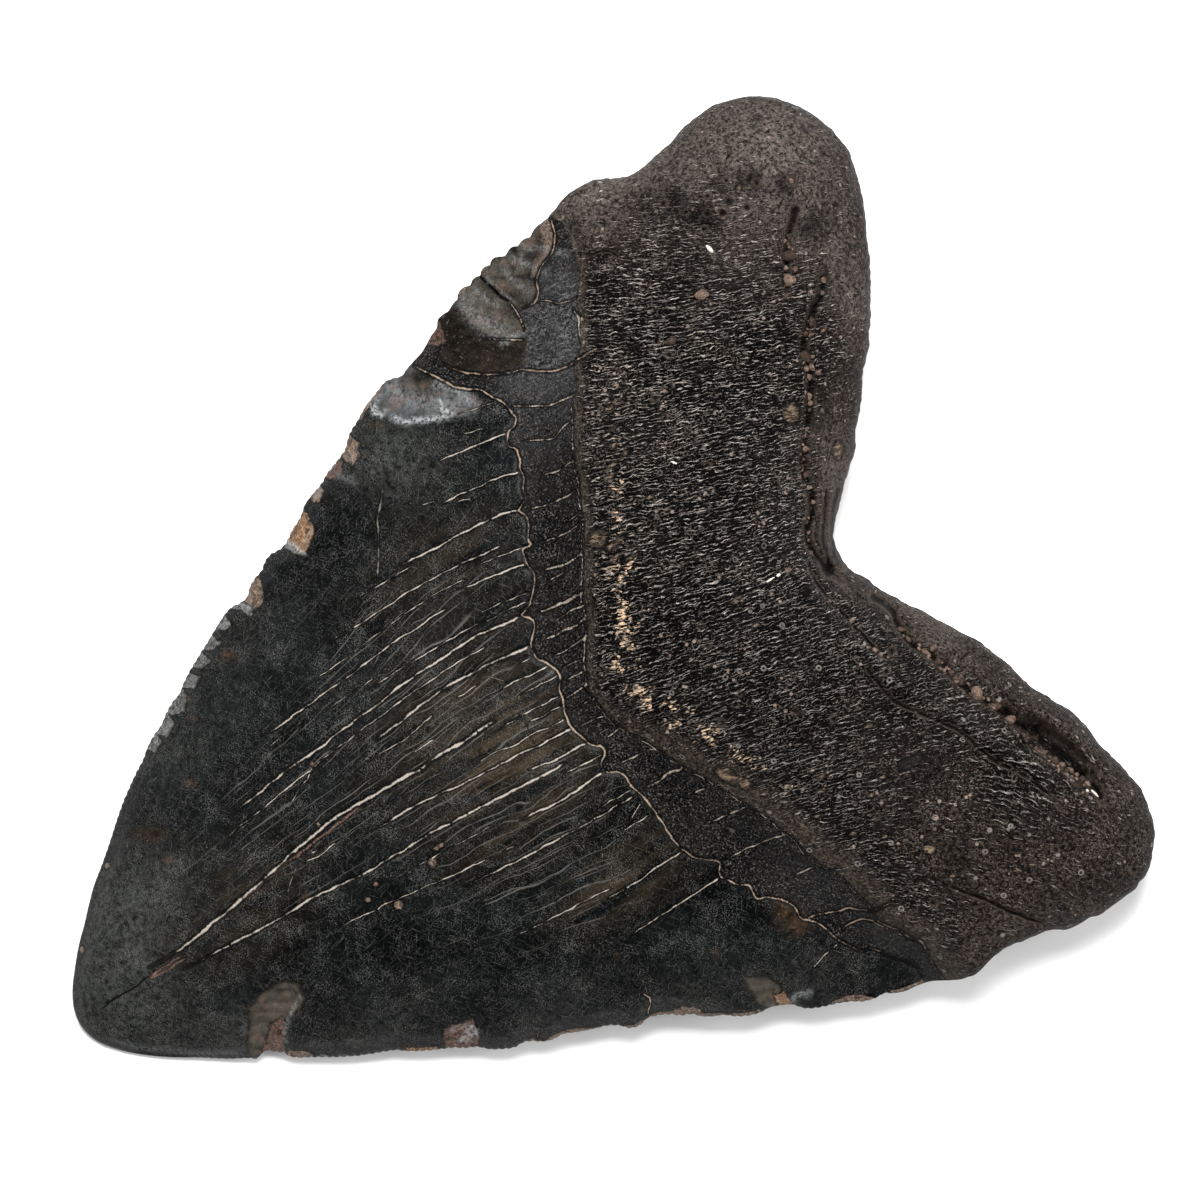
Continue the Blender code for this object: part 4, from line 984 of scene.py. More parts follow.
def over_height(points, gap):
    """Height of the face that shows, before its hollows and ridges."""
    lens = np.maximum(1.0 - across(points) ** 2, 0) ** 0.9
    thickness = read_between(CROWN_THICKNESS, points[:, 1])
    blade = under_height(points, gap) + BLADE_EDGE + thickness * lens
    boss = ((points - BOSS_CENTRE) / BOSS_SPREAD) ** 2
    body = ROOT_BASE + ROOT_BOSS * np.exp(-boss.sum(axis=1))
    for axis in LOBE_AXES:
        body += LOBE_SWELL * np.exp(-(to_axis(points, axis) / LOBE_REACH) ** 2)
    rim_top = under_height(points, np.zeros(len(points))) + ROOT_RIM
    root = rim_top + (body - rim_top) * rounding(gap, TOP_ROUNDING)
    return blade + (root - blade) * root_share(points)


at_rim = np.zeros(len(rim))
rim_under = under_height(rim, at_rim)
rim_over = over_height(rim, at_rim)
rim_middle = rim_under + 0.45 * (rim_over - rim_under)
rim_blade = 1.0 - root_share(rim)
print("rim is", rim_under.min().round(2), "to", rim_over.max().round(2), "mm above the table")

# %% [markdown]
# ## Marks
# One function turns the routes, scars and stains into masks from 0 to 1 at every point of the
# surface. The same masks carve the surface and later colour it, so a tan chip is also a hollow.

# %% Masks from routes, scars and stains
MASK_STEP = 0.07             # how closely a route is read for its mask


def line_masks(points, routes):
    """For (half width, route) pairs: 1 on a line, 0 at its half width, fading at its ends."""
    samples, widths, tapers = [], [], []
    for width, route in routes:
        line = crooked(route, MASK_STEP)
        place = np.linspace(0, MASK_STEP * len(line), len(line))
        samples.append(line)
        widths.append(np.full(len(line), width))
        ending = place[-1] - place
        taper = np.minimum(place / 0.4 + 0.75, ending / (0.3 * place[-1]) + 0.55)
        tapers.append(np.clip(taper, 0, 1))
    index, gap = nearest(tree_of(np.vstack(samples)), points)
    width, taper = np.concatenate(widths)[index], np.concatenate(tapers)[index]
    return np.clip(1.0 - gap / width, 0, 1) * taper


def spot_mask(points, x, y, length, width, turn):
    """1 in the middle of an ellipse, 0.5 at its outline, 0 outside it."""
    cos, sin = math.cos(math.radians(turn)), math.sin(math.radians(turn))
    dx, dy = points[:, 0] - x, points[:, 1] - y
    away = np.hypot((dx * cos + dy * sin) / length, (dy * cos - dx * sin) / width) * 2.0
    return np.clip(1.5 - away, 0, 1)


def soft_spots(points, spots):
    """Sum of soft round patches."""
    x, y = points.T
    return sum(strength * np.exp(-((x - cx) / wide) ** 2 - ((y - cy) / tall) ** 2)
               for cx, cy, wide, tall, strength in spots)


def soft_lines(points, lines):
    """Sum of soft lines."""
    return sum(strength * smooth(line_masks(points, [(width, route)]))
               for width, strength, route in lines)


def marks(points):
    """Every mask of the face that shows, by name."""
    names = ("tan", "orange", "red", "rust", "silver", "shard", "olive", "umber")
    found = {name: np.zeros(len(points)) for name in names}
    lines = {"crack": PALE_CRACKS, "band_crack": BAND_CRACKS, "tan_crack": TAN_CRACKS,
             "scratch": SCRATCHES, "red": RED_CRACKS}
    found.update({name: line_masks(points, routes) for name, routes in lines.items()})
    for colour, depth, softness, polygon in SCARS:
        mask = smooth(inside_depth(points, polygon) / (0.6 * softness) + 0.5)
        found[colour] = np.maximum(found[colour], mask)
    for colour, x, y, length, width, turn in STAINS:
        found[colour] = np.maximum(found[colour], spot_mask(points, x, y, length, width, turn))
    found["groove"] = line_masks(points, [(width, route) for width, depth, route in ROOT_GROOVES])
    for x, y, size in PITS:
        found["groove"] = np.maximum(found["groove"], spot_mask(points, x, y, size, size, 0))
    # painted highlights and painted shade, as soft strokes
    found["painted_highlight"] = soft_lines(points, PAINTED_HIGHLIGHTS)
    found["shade"] = np.minimum(soft_lines(points, PAINTED_SHADES), 1)
    found["glow"] = soft_spots(points, GLOWS)
    return found


top_marks = marks(top_place)
print("masks:", ", ".join(sorted(top_marks)))

# %% [markdown]
# ## Carving
# Now the heights. Each hollow is subtracted and each ridge added, then the root gets its
# fibres: low waves that are long up and down the tooth and short across it. The rim of the
# blade is bevelled to an edge.

# %% Carve the face that shows
BAND_DEPTH = 0.30            # the neck band lies below the enamel
ROOT_STEP_HEIGHT = 0.60      # and the root stands up above the band
ABOVE_ROOT = [(-46, 57), (46, 57)]
BAND = ENAMEL_END + ROOT_START[::-1]
ROOT = ABOVE_ROOT + ROOT_START[::-1]
RIPPLE_CENTRES = [(-43.6, 13.5), (-44.6, 22.5), (-39, 3)]
RIPPLE_LENGTH = 1.25         # from crest to crest
RIPPLE_DEPTH = 0.12
PIT_DEPTH = 0.45             # of a pit, as a share of its width
CRACK_DEPTHS = {"crack": 0.1, "band_crack": 0.2, "tan_crack": 0.16, "red": 0.06}


def ripple_waves(points):
    """Waves from -1 to 1 in rings round the places where a flake was struck off."""
    away = np.min([np.hypot(points[:, 0] - x, points[:, 1] - y) for x, y in RIPPLE_CENTRES], axis=0)
    bend = 0.8 * noise_at(points, 0.35, 51) + 0.25 * noise_at(points, 1.1, 52)
    strength = np.clip(0.6 + noise_at(points, 0.3, 53), 0, 1)
    return np.sin(2.0 * math.pi * (away + bend) / RIPPLE_LENGTH) * strength


def carve(points, gap, found):
    """Height of the face that shows, with its hollows, ridges and fibres."""
    height = over_height(points, gap)
    band = smooth(inside_depth(points, BAND) / 0.7)
    root_depth = inside_depth(points, ROOT)
    root = smooth(root_depth / 1.3)
    height -= BAND_DEPTH * band
    height += ROOT_STEP_HEIGHT * root * (1.0 - 0.75 * smooth((root_depth - 2) / 10))
    for colour, depth, softness, polygon in SCARS:
        within = smooth(inside_depth(points, polygon) / softness)
        height -= depth * within
        if softness > 0.6:
            height += RIPPLE_DEPTH * within * ripple_waves(points)
    for width, depth, route in ROOT_GROOVES:
        height -= depth * smooth(line_masks(points, [(width, route)]) * 1.3)
    for width, depth, route in ROOT_RIDGES:
        height += depth * smooth(line_masks(points, [(width, route)]))
    for x, y, size in PITS:
        height -= PIT_DEPTH * size * smooth(spot_mask(points, x, y, size, size, 0))
    for name, depth in CRACK_DEPTHS.items():
        height -= depth * smooth(found[name] * 1.4)
    spread = 1.0 + np.maximum(points[:, 1] - 5, 0) / 60.0
    fibre = np.column_stack([points[:, 0] / spread, points[:, 1] * 0.28])
    height += root * (0.34 * noise_at(points, 0.16, 1) + 0.20 * noise_at(fibre, 0.55, 2)
                      + 0.14 * noise_at(fibre, 1.25, 3) + 0.07 * noise_at(points, 1.4, 4))
    height += band * (0.05 * noise_at(points, 0.9, 5))
    height += (1.0 - root) * (0.09 * noise_at(points, 0.12, 6)
                              + 0.02 * noise_at(points, 0.5, 7))
    return height


top_nearest, top_gap = nearest(rim_tree, top_place)
top_height = carve(top_place, top_gap, top_marks)
top_limit = rim_middle[top_nearest] + 0.10 + BEVEL_SLOPE * top_gap
top_height -= rim_blade[top_nearest] * np.maximum(top_height - top_limit, 0)
print("highest point", top_height.max().round(2), "mm")

# %% Shape the face below and the wall between the two
UNDER_ROOT = ABOVE_ROOT + UNDER_ROOT_START[::-1]
WALL_ROWS = 2


def shape_under(points, gap, index):
    """Height of the hidden face: a smooth vault, rough where it is root."""
    height = under_height(points, gap)
    root = smooth(inside_depth(points, UNDER_ROOT) / 1.5)
    fibre = points * (1, 0.35)
    rough = 0.16 * noise_at(points, 0.2, 11) + 0.12 * noise_at(fibre, 0.8, 12)
    even = (1.0 - root) * 0.05 * noise_at(points, 0.15, 13)
    height = height + np.minimum(height, 1) * (root * rough + even)
    limit = rim_middle[index] - 0.10 - BEVEL_SLOPE * gap
    height += rim_blade[index] * np.maximum(limit - height, 0)
    return np.maximum(height, 0)


under_nearest, under_gap = nearest(rim_tree, under_place)
under_level = shape_under(under_place, under_gap, under_nearest)
wall_low, wall_high = under_level[under_ring], top_height[top_ring]
wall_outward = -rim_inward * (1.0 - rim_blade)[:, None]
wall_rows = []
for row in range(1, WALL_ROWS + 1):
    part = row / (WALL_ROWS + 1)
    rough = 0.22 * noise_at(rim, 0.5, 20.0 + row) + 0.10 * noise_at(rim, 1.4, 30.0 + row) + 0.12
    place = rim + wall_outward * rough[:, None]
    wall_rows.append(np.column_stack([place, wall_low + part * (wall_high - wall_low)]))
print("wall of", WALL_ROWS + 1, "strips,", (wall_high - wall_low).min().round(2), "to",
      (wall_high - wall_low).max().round(2), "mm high")

# %% Put the mesh together
ENAMEL, NECK, ROOT_BONE = 0, 1, 2        # the three materials, in their order on the mesh


def zone_of(centres, band, root):
    """Material number of each triangle."""
    zone = np.full(len(centres), ENAMEL)
    if band:
        zone[inside_depth(centres, band) > 0] = NECK
    zone[inside_depth(centres, root) > 0] = ROOT_BONE
    return zone


def join_mesh():
    """One mesh from the face that shows, the face below and the wall."""
    first_under = len(top_place)
    first_wall = first_under + len(under_place)
    count = len(rim)
    places = np.vstack([np.column_stack([top_place, top_height]),
                        np.column_stack([under_place, under_level])] + wall_rows)
    rows = [under_ring + first_under]
    rows += [np.arange(count) + first_wall + row * count for row in range(WALL_ROWS)] + [top_ring]
    strips = []
    for low, high in zip(rows, rows[1:]):
        low_next, high_next = np.roll(low, -1), np.roll(high, -1)
        strips += [np.column_stack([low, low_next, high_next]),
                   np.column_stack([low, high_next, high])]
    wall_faces = np.vstack(strips)
    faces = np.vstack([top_faces, under_faces[:, ::-1] + first_under, wall_faces])
    wall_zone = np.where(rim_blade < 0.5, ROOT_BONE, ENAMEL)
    zones = np.concatenate([zone_of(top_place[top_faces].mean(axis=1), BAND, ROOT),
                            zone_of(under_place[under_faces].mean(axis=1), None, UNDER_ROOT),
                            np.tile(wall_zone, len(strips))])
    mesh = bpy.data.meshes.new("tooth_body")
    mesh.from_pydata((places * MM).tolist(), [], faces.tolist())
    mesh.polygons.foreach_set("material_index", zones.astype(np.int32))
    mesh.shade_smooth()
    return mesh, places


tooth_mesh, tooth_places = join_mesh()
print("tooth:", len(tooth_mesh.vertices), "points,", len(tooth_mesh.polygons), "triangles")
assert not tooth_mesh.validate(verbose=False)

# %% [markdown]
# ## What the materials read
# The masks go onto the mesh as attributes, one number per point, which shader nodes can read
# by name. One more attribute holds the fibre direction of the root: its first number is a place
# across the fibres, which run straight up the middle and turn outwards over the lobes.

# %% Soft patches on the crown, the root and the band
# Painted sheen where the crown slopes towards the light, partly a grey-green film.
SHEEN_AND_FILM_PATCHES = [  # x, y, reach across, reach along, strength
    (-1, -50, 8, 7, 0.9), (-9, -44, 5, 6, 0.8), (9, -44, 3, 9, 0.5), (16, -31, 3.5, 9, 0.45),
    (24, -17, 3, 9, 0.45), (30, -3, 3.5, 8, 0.4), (-24, -22, 4, 9, 0.35), (-33, 1, 3.5, 6, 0.5),
    (35, 9, 4, 6, 0.4), (-18, -33, 4, 8, 0.45), (-31, 1, 3.5, 4, 0.5), (-27, 3, 4, 4, 0.3),
]
PALE_ROOT = [
    (-37, 48, 8, 9, 0.9), (-43, 33, 3.5, 9, 0.9), (-20, 49, 9, 3, 0.6), (-6, 38.5, 5, 3, 0.6),
    (41.5, 28, 3, 7, 0.2), (10, 37.5, 8, 2, 0.5),
]
PLAIN_ROOT = [
    (-36.5, 50, 9, 6, 1), (-42, 40, 4, 10, 0.9), (-22, 50, 9, 3.5, 0.9), (-9, 40.5, 6, 3, 0.8),
    (41, 38, 5.5, 9, 1), (33, 45, 9, 2.5, 1), (20, 41.3, 9, 2.4, 1), (8, 37, 6, 1.8, 0.9),
    (-40, 30.5, 6, 3, 0.6), (37, 31, 6, 8, 0.8), (29, 26, 6, 5, 0.4), (26, 32, 6, 4, 0.3),
    (20, 27, 10, 7, 0.35),
]
# Painted shade: dark soft patches on the root where hollows, not carved, would lie in shadow.
HOLLOW_SHADE_PATCHES = [
    (-35.5, 45.8, 1.5, 1.2, 0.8), (-39, 35.4, 2.4, 1.1, 0.7), (-34.8, 39.9, 1.6, 1.4, 1),
    (-33.6, 48.9, 0.9, 1.3, 0.8), (-36.8, 37.8, 1.6, 1.2, 0.6), (-37, 43, 1.2, 2.2, 0.5),
    (-31.5, 36, 2.5, 2.5, 0.5), (-41, 28.6, 1.5, 1, 0.5), (12.5, 33.2, 3, 1, 0.5),
    (-28.8, 48.9, 1.3, 2.3, 0.8), (-40.5, 49.6, 0.6, 0.5, 0.7), (-37.3, 29.5, 0.7, 1.4, 0.8),
    (-33, 48, 1.6, 1, 0.6), (-38.6, 38.5, 1.8, 0.8, 0.6),
]
STRIAE = [
    (-3, -8, 15, 11, 1), (-5, -26, 8, 13, 0.8), (-18, -6, 7, 9, 0.6), (12, -8, 7, 9, 0.6),
]
LEATHER = [
    (-35, 22.5, 3.6, 4.5, 1), (-31, 19, 3, 4, 0.8), (-26, 15.5, 3, 3.5, 0.22), (27, 14, 5, 3, 0.12),
    (35, 17.5, 4, 2, 0.12),
]
print("patches:", len(SHEEN_AND_FILM_PATCHES), "hazy,", len(HOLLOW_SHADE_PATCHES), "dark,", len(LEATHER), "leathery")

# %% Store the masks on the mesh
def store(name, values):
    layer = tooth_mesh.attributes.new(name, "FLOAT", "POINT")
    layer.data.foreach_set("value", values.astype(np.float32))


def full_length(top_values, under_values=0):
    """Values for every point: of the face that shows, the face below, and the wall between."""
    values = np.zeros(len(tooth_places))
    values[:len(top_place)] = top_values
    values[len(top_place):-WALL_ROWS * len(rim)] = under_values
    values[-WALL_ROWS * len(rim):] = np.tile(top_values[top_ring], WALL_ROWS)
    values[len(top_place) + under_ring] = top_values[top_ring]
    return values


def distance_to(route, points):
    """How far each point is from a route."""
    return nearest(tree_of(along_route(route, 0.3)), points)[1]


under_line = line_masks(under_place, [(0.45, UNDER_ROOT_START[1:-1])])
for name, values in top_marks.items():
    store(name, full_length(values, under_line if name == "tan_crack" else 0))
belt = distance_to(ROOT_START, top_place) * (inside_depth(top_place, ROOT) > 0)
under_belt = distance_to(UNDER_ROOT_START, under_place)
under_patches = np.clip(0.5 + 0.9 * noise_at(under_place, 0.07, 61), 0, 1)
# painted sheen and grey-green film on the crown; random patches on the face below
store("sheen_and_film", full_length(soft_spots(top_place, SHEEN_AND_FILM_PATCHES), 0.5 * under_patches))
store("pale_root", full_length(soft_spots(top_place, PALE_ROOT), 0.4 * under_patches))
store("striae", full_length(np.clip(soft_spots(top_place, STRIAE), 0, 1),
                            0.4 + 0.6 * under_patches))
store("leather", full_length(soft_spots(top_place, LEATHER)))
# painted shade of the root's hollows
store("hollow", full_length(np.clip(soft_spots(top_place, HOLLOW_SHADE_PATCHES), 0, 0.9)))
plain = soft_spots(top_place, PLAIN_ROOT) + 0.9 * smooth((4.2 - top_gap) / 3)
store("plain", full_length(np.clip(1.4 * plain - 0.2, 0, 1), np.clip(
    0.3 + 0.5 * under_patches + 0.6 * smooth((4.2 - under_gap) / 3), 0, 1)))
middle = np.clip(1.4 - np.abs(top_place[:, 0] + 3) / 24, 0, 1)
store("belt", full_length(np.exp(-((belt - 3.6) / 1.9) ** 2) * middle,
                          0.8 * np.exp(-((under_belt - 2.5) / 1.5) ** 2)))
shelf_width = 0.9 + 1.6 * smooth((top_place[:, 0] + 3) / 14)
store("smooth_belt", full_length(np.clip(1.6 - 1.4 * belt / shelf_width, 0, 1) * (belt > 0)))
# ripple rings, which the materials paint as light and shade bands
store("ripple_light_bands", full_length(smooth(0.5 + 0.5 * ripple_waves(top_place))))
print("masks stored:", len(tooth_mesh.attributes))

# %% Fibre directions
FIBRE_ANGLE = [  # x, degrees from the X axis
    (-50, 55), (-32, 60), (-24, 67), (-16, 68), (-8, 73), (0, 77), (8, 76), (16, 73), (24, 68),
    (32, 47), (50, 45),
]
FIBRE_MIDDLE = 27.0
FAN_REACH = 80.0             # the crown's hairlines spread from a point this far below its middle


def fibre_places(points):
    """Place across the fibres and along them, for fibres that fan out over the lobes."""
    across_tooth = np.linspace(-50, 50, 1001)
    angle = np.radians(read_between(FIBRE_ANGLE, across_tooth))
    step = across_tooth[1] - across_tooth[0]
    sums = [np.interp(points[:, 0], across_tooth, np.cumsum(wave) * step)
            for wave in (np.sin(angle), np.cos(angle))]
    turn = np.interp(points[:, 0], across_tooth, angle)
    beyond = points[:, 1] - FIBRE_MIDDLE
    return np.column_stack([sums[0] - beyond * np.cos(turn), sums[1] + beyond * np.sin(turn),
                            points[:, 2]])


fibre = fibre_places(tooth_places)
crown_points = np.flatnonzero(inside_depth(tooth_places[:, :2], ROOT) < 0)
crown_x, crown_y, crown_z = tooth_places[crown_points].T
fibre[crown_points] = np.column_stack([crown_x * FAN_REACH / (crown_y + FAN_REACH + 10),
                                       crown_y, crown_z])
fibre_layer = tooth_mesh.attributes.new("fibre", "FLOAT_VECTOR", "POINT")
fibre_layer.data.foreach_set("vector", fibre.astype(np.float32).ravel())
print("fibres: places for", len(fibre), "points,", len(crown_points), "of them on the crown")

# %% [markdown]
# ## Nodes, and the effects that the materials share
# Five effects turn up again and again: fine pale dust, ragged edges on painted lines, the short
# pale dashes and the thin ridges of a fibrous surface, and hair scratches. Each is a node group
# with its own inputs. All lengths inside them are millimetres.

# %% Helpers that build node trees
def add(tree, kind, inputs=(), **options):
    """Adds a shader node; an input is another node's socket, a number or a colour."""
    made = tree.nodes.new("ShaderNode" + kind)
    for name, value in options.items():
        setattr(made, name, value)
    for name, value in dict(inputs).items():
        socket = made.inputs[name]
        if isinstance(value, bpy.types.NodeSocket):
            tree.links.new(value, socket)
        else:
            socket.default_value = (*value, 1) if socket.type == "RGBA" else value
    return made


def calculate(tree, operation, first, second=0):
    return add(tree, "Math", {0: first, 1: second}, operation=operation).outputs[0]


def plus(tree, first, second):
    return calculate(tree, "ADD", first, second)


def minus(tree, first, second):
    return calculate(tree, "SUBTRACT", first, second)


def times(tree, first, second):
    return calculate(tree, "MULTIPLY", first, second)


def most(tree, first, second):
    return calculate(tree, "MAXIMUM", first, second)


def between(tree, value, low, high):
    """0 below low, 1 above high, smooth in between."""
    levels = {"Value": value, "From Min": low, "From Max": high}
    return add(tree, "MapRange", levels, interpolation_type="SMOOTHSTEP").outputs["Result"]


def spread_over(tree, value, low, high):
    """A value from 0 to 1 spread evenly over the range from low to high."""
    return add(tree, "MapRange", {"Value": value, "To Min": low, "To Max": high}).outputs["Result"]


def layer_colour(tree, under, over, mask, strength=None):
    """One colour over another where the mask is 1, as thickly as its strength says."""
    if strength is not None:
        mask = times(tree, mask, strength)
    return add(tree, "Mix", {0: mask, 6: under, 7: over}, data_type="RGBA").outputs[2]


def noise_value(tree, vector, scale, detail, roughness):
    inputs = {"Vector": vector, "Scale": scale, "Detail": detail, "Roughness": roughness}
    return add(tree, "TexNoise", inputs).outputs["Fac"]


def cloudy(tree, vector, scale, detail, roughness, low, high):
    """Patches: noise that is 0 below one level and 1 above another."""
    return between(tree, noise_value(tree, vector, scale, detail, roughness), low, high)


def stretched(tree, vector, scale, turn=0):
    """The vector turned about the upright axis, then scaled along each axis."""
    turned = add(tree, "Mapping", {"Vector": vector, "Rotation": (0, 0, turn)})
    return add(tree, "Mapping", {"Vector": turned.outputs[0], "Scale": scale}).outputs[0]


def new_group(name, inputs, outputs):
    """A node group. An input with no value is a vector; the rest, and all outputs, are numbers."""
    group = bpy.data.node_groups.new(name, "ShaderNodeTree")
    for label, value in inputs.items():
        kind = "NodeSocketVector" if value is None else "NodeSocketFloat"
        socket = group.interface.new_socket(label, in_out="INPUT", socket_type=kind)
        if value is not None:
            socket.default_value = value
    for label in outputs:
        group.interface.new_socket(label, in_out="OUTPUT", socket_type="NodeSocketFloat")
    start, end = group.nodes.new("NodeGroupInput"), group.nodes.new("NodeGroupOutput")
    return group, start.outputs, end.inputs


def use_group(tree, group, inputs):
    return add(tree, "Group", inputs, node_tree=group).outputs["Mask"]

# %% Shared effects: dust, ragged edges and hair scratches
def make_dust():
    """Pale dust: tiny separate grains, thicker in some places than in others."""
    group, given, result = new_group(
        "fine_dust", {"Vector": None, "Grains": 6, "Cover": 0.3}, ["Mask"])
    grains = noise_value(group, given["Vector"], given["Grains"], 1, 0.6)
    drifts = noise_value(group, given["Vector"], 0.35, 3, 0.6)
    level = minus(group, 0.86, times(group, given["Cover"], drifts))
    mask = between(group, minus(group, grains, level), 0, 0.06)
    group.links.new(mask, result["Mask"])
    return group


def make_ragged_edge():
    """Turns a soft mask into a crisp one whose edge wanders like a real crack's."""
    group, given, result = new_group("ragged_edge", {
        "Mask": 0, "Vector": None, "Wander": 0.35, "Level": 0.5, "Softness": 0.13}, ["Mask"])
    coarse = noise_value(group, given["Vector"], 0.9, 2, 0.5)
    fine = noise_value(group, given["Vector"], 5.5, 5, 0.85)
    wobble = minus(group, plus(group, coarse, fine), 1)
    moved = plus(group, given["Mask"], times(group, wobble, given["Wander"]))
    present = between(group, given["Mask"], 0.02, 0.2)
    low = times(group, given["Softness"], -1)
    sharp = between(group, minus(group, moved, given["Level"]), low, given["Softness"])
    group.links.new(times(group, sharp, present), result["Mask"])
    return group


def make_scratches():
    """Hair scratches in four directions."""
    group, given, result = new_group("hair_scratches", {"Vector": None}, ["Mask"])
    total = None
    for turn, level in ((0.9, 0.66), (2.2, 0.67), (-0.25, 0.66), (1.5, 0.68)):
        lines = stretched(group, given["Vector"], (12, 0.6, 1), turn)
        mask = cloudy(group, lines, 1, 1, 0.5, level, level + 0.05)
        total = mask if total is None else most(group, total, mask)
    group.links.new(total, result["Mask"])
    return group

# %% Shared effects: dashes and ridges along the fibres
def bent(group, fibre, scale, reach):
    """Fibre places pushed about by broad noise, so that no line is ruler straight."""
    noise = add(group, "TexNoise", {"Vector": fibre, "Scale": scale, "Detail": 2.0})
    push = add(group, "VectorMath", {0: noise.outputs["Color"], 1: reach}, operation="MULTIPLY")
    return add(group, "VectorMath", {0: fibre, 1: push.outputs[0]}, operation="ADD").outputs[0]


def make_dashes():
    """Short pale dashes along the fibres."""
    group, given, result = new_group("fibre_dashes", {"Fibre": None, "Cover": 0.5}, ["Mask"])
    wavy = bent(group, given["Fibre"], 0.6, (0.7, 0.7, 0.7))
    long_waves = noise_value(group, stretched(group, wavy, (4.4, 1.15, 0.4)), 1, 1, 0.5)
    short_waves = noise_value(group, stretched(group, wavy, (7.8, 2.5, 0.4)), 1, 1, 0.5)
    mixed = plus(group, times(group, long_waves, 0.55), times(group, short_waves, 0.45))
    level = minus(group, 0.66, times(group, given["Cover"], 0.2))
    group.links.new(between(group, minus(group, mixed, level), -0.02, 0.09), result["Mask"])
    return group


def make_ridges():
    """Thin wavy ridges side by side along the fibres, broken into lengths, and their relief."""
    group, given, result = new_group(
        "fibre_ridges", {"Fibre": None, "Cover": 0.5, "Thin": 1.0}, ["Mask", "Height"])
    wavy = bent(group, given["Fibre"], 1.2, (0.6, 0.4, 0.4))
    place_across = add(group, "SeparateXYZ", {0: wavy}).outputs[0]
    low, high = (minus(group, 1, calculate(group, "DIVIDE", share, given["Thin"]))
                 for share in (0.55, 0.04))
    level = minus(group, 0.6, times(group, given["Cover"], 0.24))
    masks, rises = [], []
    for density, along in ((13, 0.42), (20, 0.7)):
        drift = noise_value(group, stretched(group, wavy, (1.2, along, 0.3)), 1, 1, 0.5)
        wave = calculate(group, "SINE", plus(group, times(group, place_across, density),
                                             times(group, drift, 0.62 * density)))
        patch = stretched(group, wavy, (0.2 * density, 2.0 * along, 0.7))
        spread = noise_value(group, patch, 1, 2, 0.6)
        there = between(group, minus(group, spread, level), -0.03, 0.1)
        masks.append(times(group, between(group, wave, low, high), there))
        rises.append(times(group, wave, there))
    group.links.new(most(group, *masks), result["Mask"])
    group.links.new(times(group, plus(group, *rises), 0.5), result["Height"])
    return group


fine_dust, ragged_edge, hair_scratches = make_dust(), make_ragged_edge(), make_scratches()
fibre_dashes, fibre_ridges = make_dashes(), make_ridges()
print("shared effects:", ", ".join(group.name for group in bpy.data.node_groups))

# %% [markdown]
# ## Stains and silt, painted shade and painted highlights
# Every stain, chip and silt-filled crack has a mask on the mesh. Two functions paint them over
# whatever material lies below. A mask is soft, so its edge is made ragged first, and each
# colour is mottled, the smooth scars with painted light and shade bands along ripple rings.
# Chips break into little facets with painted highlights on their edges; cracks get painted
# shade along their lips. Painted shade strokes, painted shade in grooves and pits, and painted
# highlight strokes go on with the stains.

# %% Start and end of a material
BLACK = (0, 0, 0)
SOOT = 0.2                   # a last thin dark veil over every colour


def attribute(tree, name, output="Fac"):
    return add(tree, "Attribute", attribute_name=name, attribute_type="GEOMETRY").outputs[output]


def ragged(tree, mask, place, wander, level=0.5, softness=0.13):
    """A soft mask made crisp, with an edge that wanders."""
    return use_group(tree, ragged_edge, {"Mask": mask, "Vector": place, "Wander": wander,
                                         "Level": level, "Softness": softness})


def start_material(name):
    """A material, its node tree, and the place on the object in millimetres."""
    paint = bpy.data.materials.new(name)
    paint.use_nodes = True
    tree = paint.node_tree
    place = add(tree, "Mapping", {"Vector": add(tree, "TexCoord").outputs["Object"],
                                  "Scale": (1000, 1000, 1000)}).outputs[0]
    return paint, tree, place


def finish_material(paint, colour, rough, bump, soot=SOOT, shine=None):
    """Connects the shader; bump is its strength, its distance in metres and the height."""
    tree = paint.node_tree
    shader = tree.nodes["Principled BSDF"]
    if soot:
        colour = layer_colour(tree, colour, BLACK, soot)
    relief = add(tree, "Bump", dict(zip(("Strength", "Distance", "Height"), bump)))
    tree.links.new(colour, shader.inputs["Base Color"])
    tree.links.new(rough, shader.inputs["Roughness"])
    tree.links.new(relief.outputs["Normal"], shader.inputs["Normal"])
    if shine is not None:
        shader.inputs["Specular IOR Level"].default_value = shine
    return paint

# %% Stains, chips and scars
MARK_FINISHES = {                                   # colour, softness of the edge
    "silver": ((0.066, 0.07, 0.071), 0.3),
    "shard": ((0.15, 0.152, 0.145), 0.2),
    "olive": ((0.08, 0.071, 0.056), 0.45),
    "umber": ((0.024, 0.018, 0.013), 0.5),
    "rust": ((0.085, 0.046, 0.024), 0.6),
    "tan": ((0.19, 0.138, 0.105), 0.2),
    "orange": ((0.27, 0.16, 0.095), 0.15),
    "red": ((0.13, 0.08, 0.062), 0.2),
}
CRUMBLY = ("shard", "tan", "orange", "red")         # broken faces, not polished ones
# colour of the painted highlights
PAINTED_HIGHLIGHT_COLOUR = (0.36, 0.37, 0.375)


def scaled_colour(colour, factor, most_allowed=1):
    return tuple(min(factor * channel, most_allowed) for channel in colour)


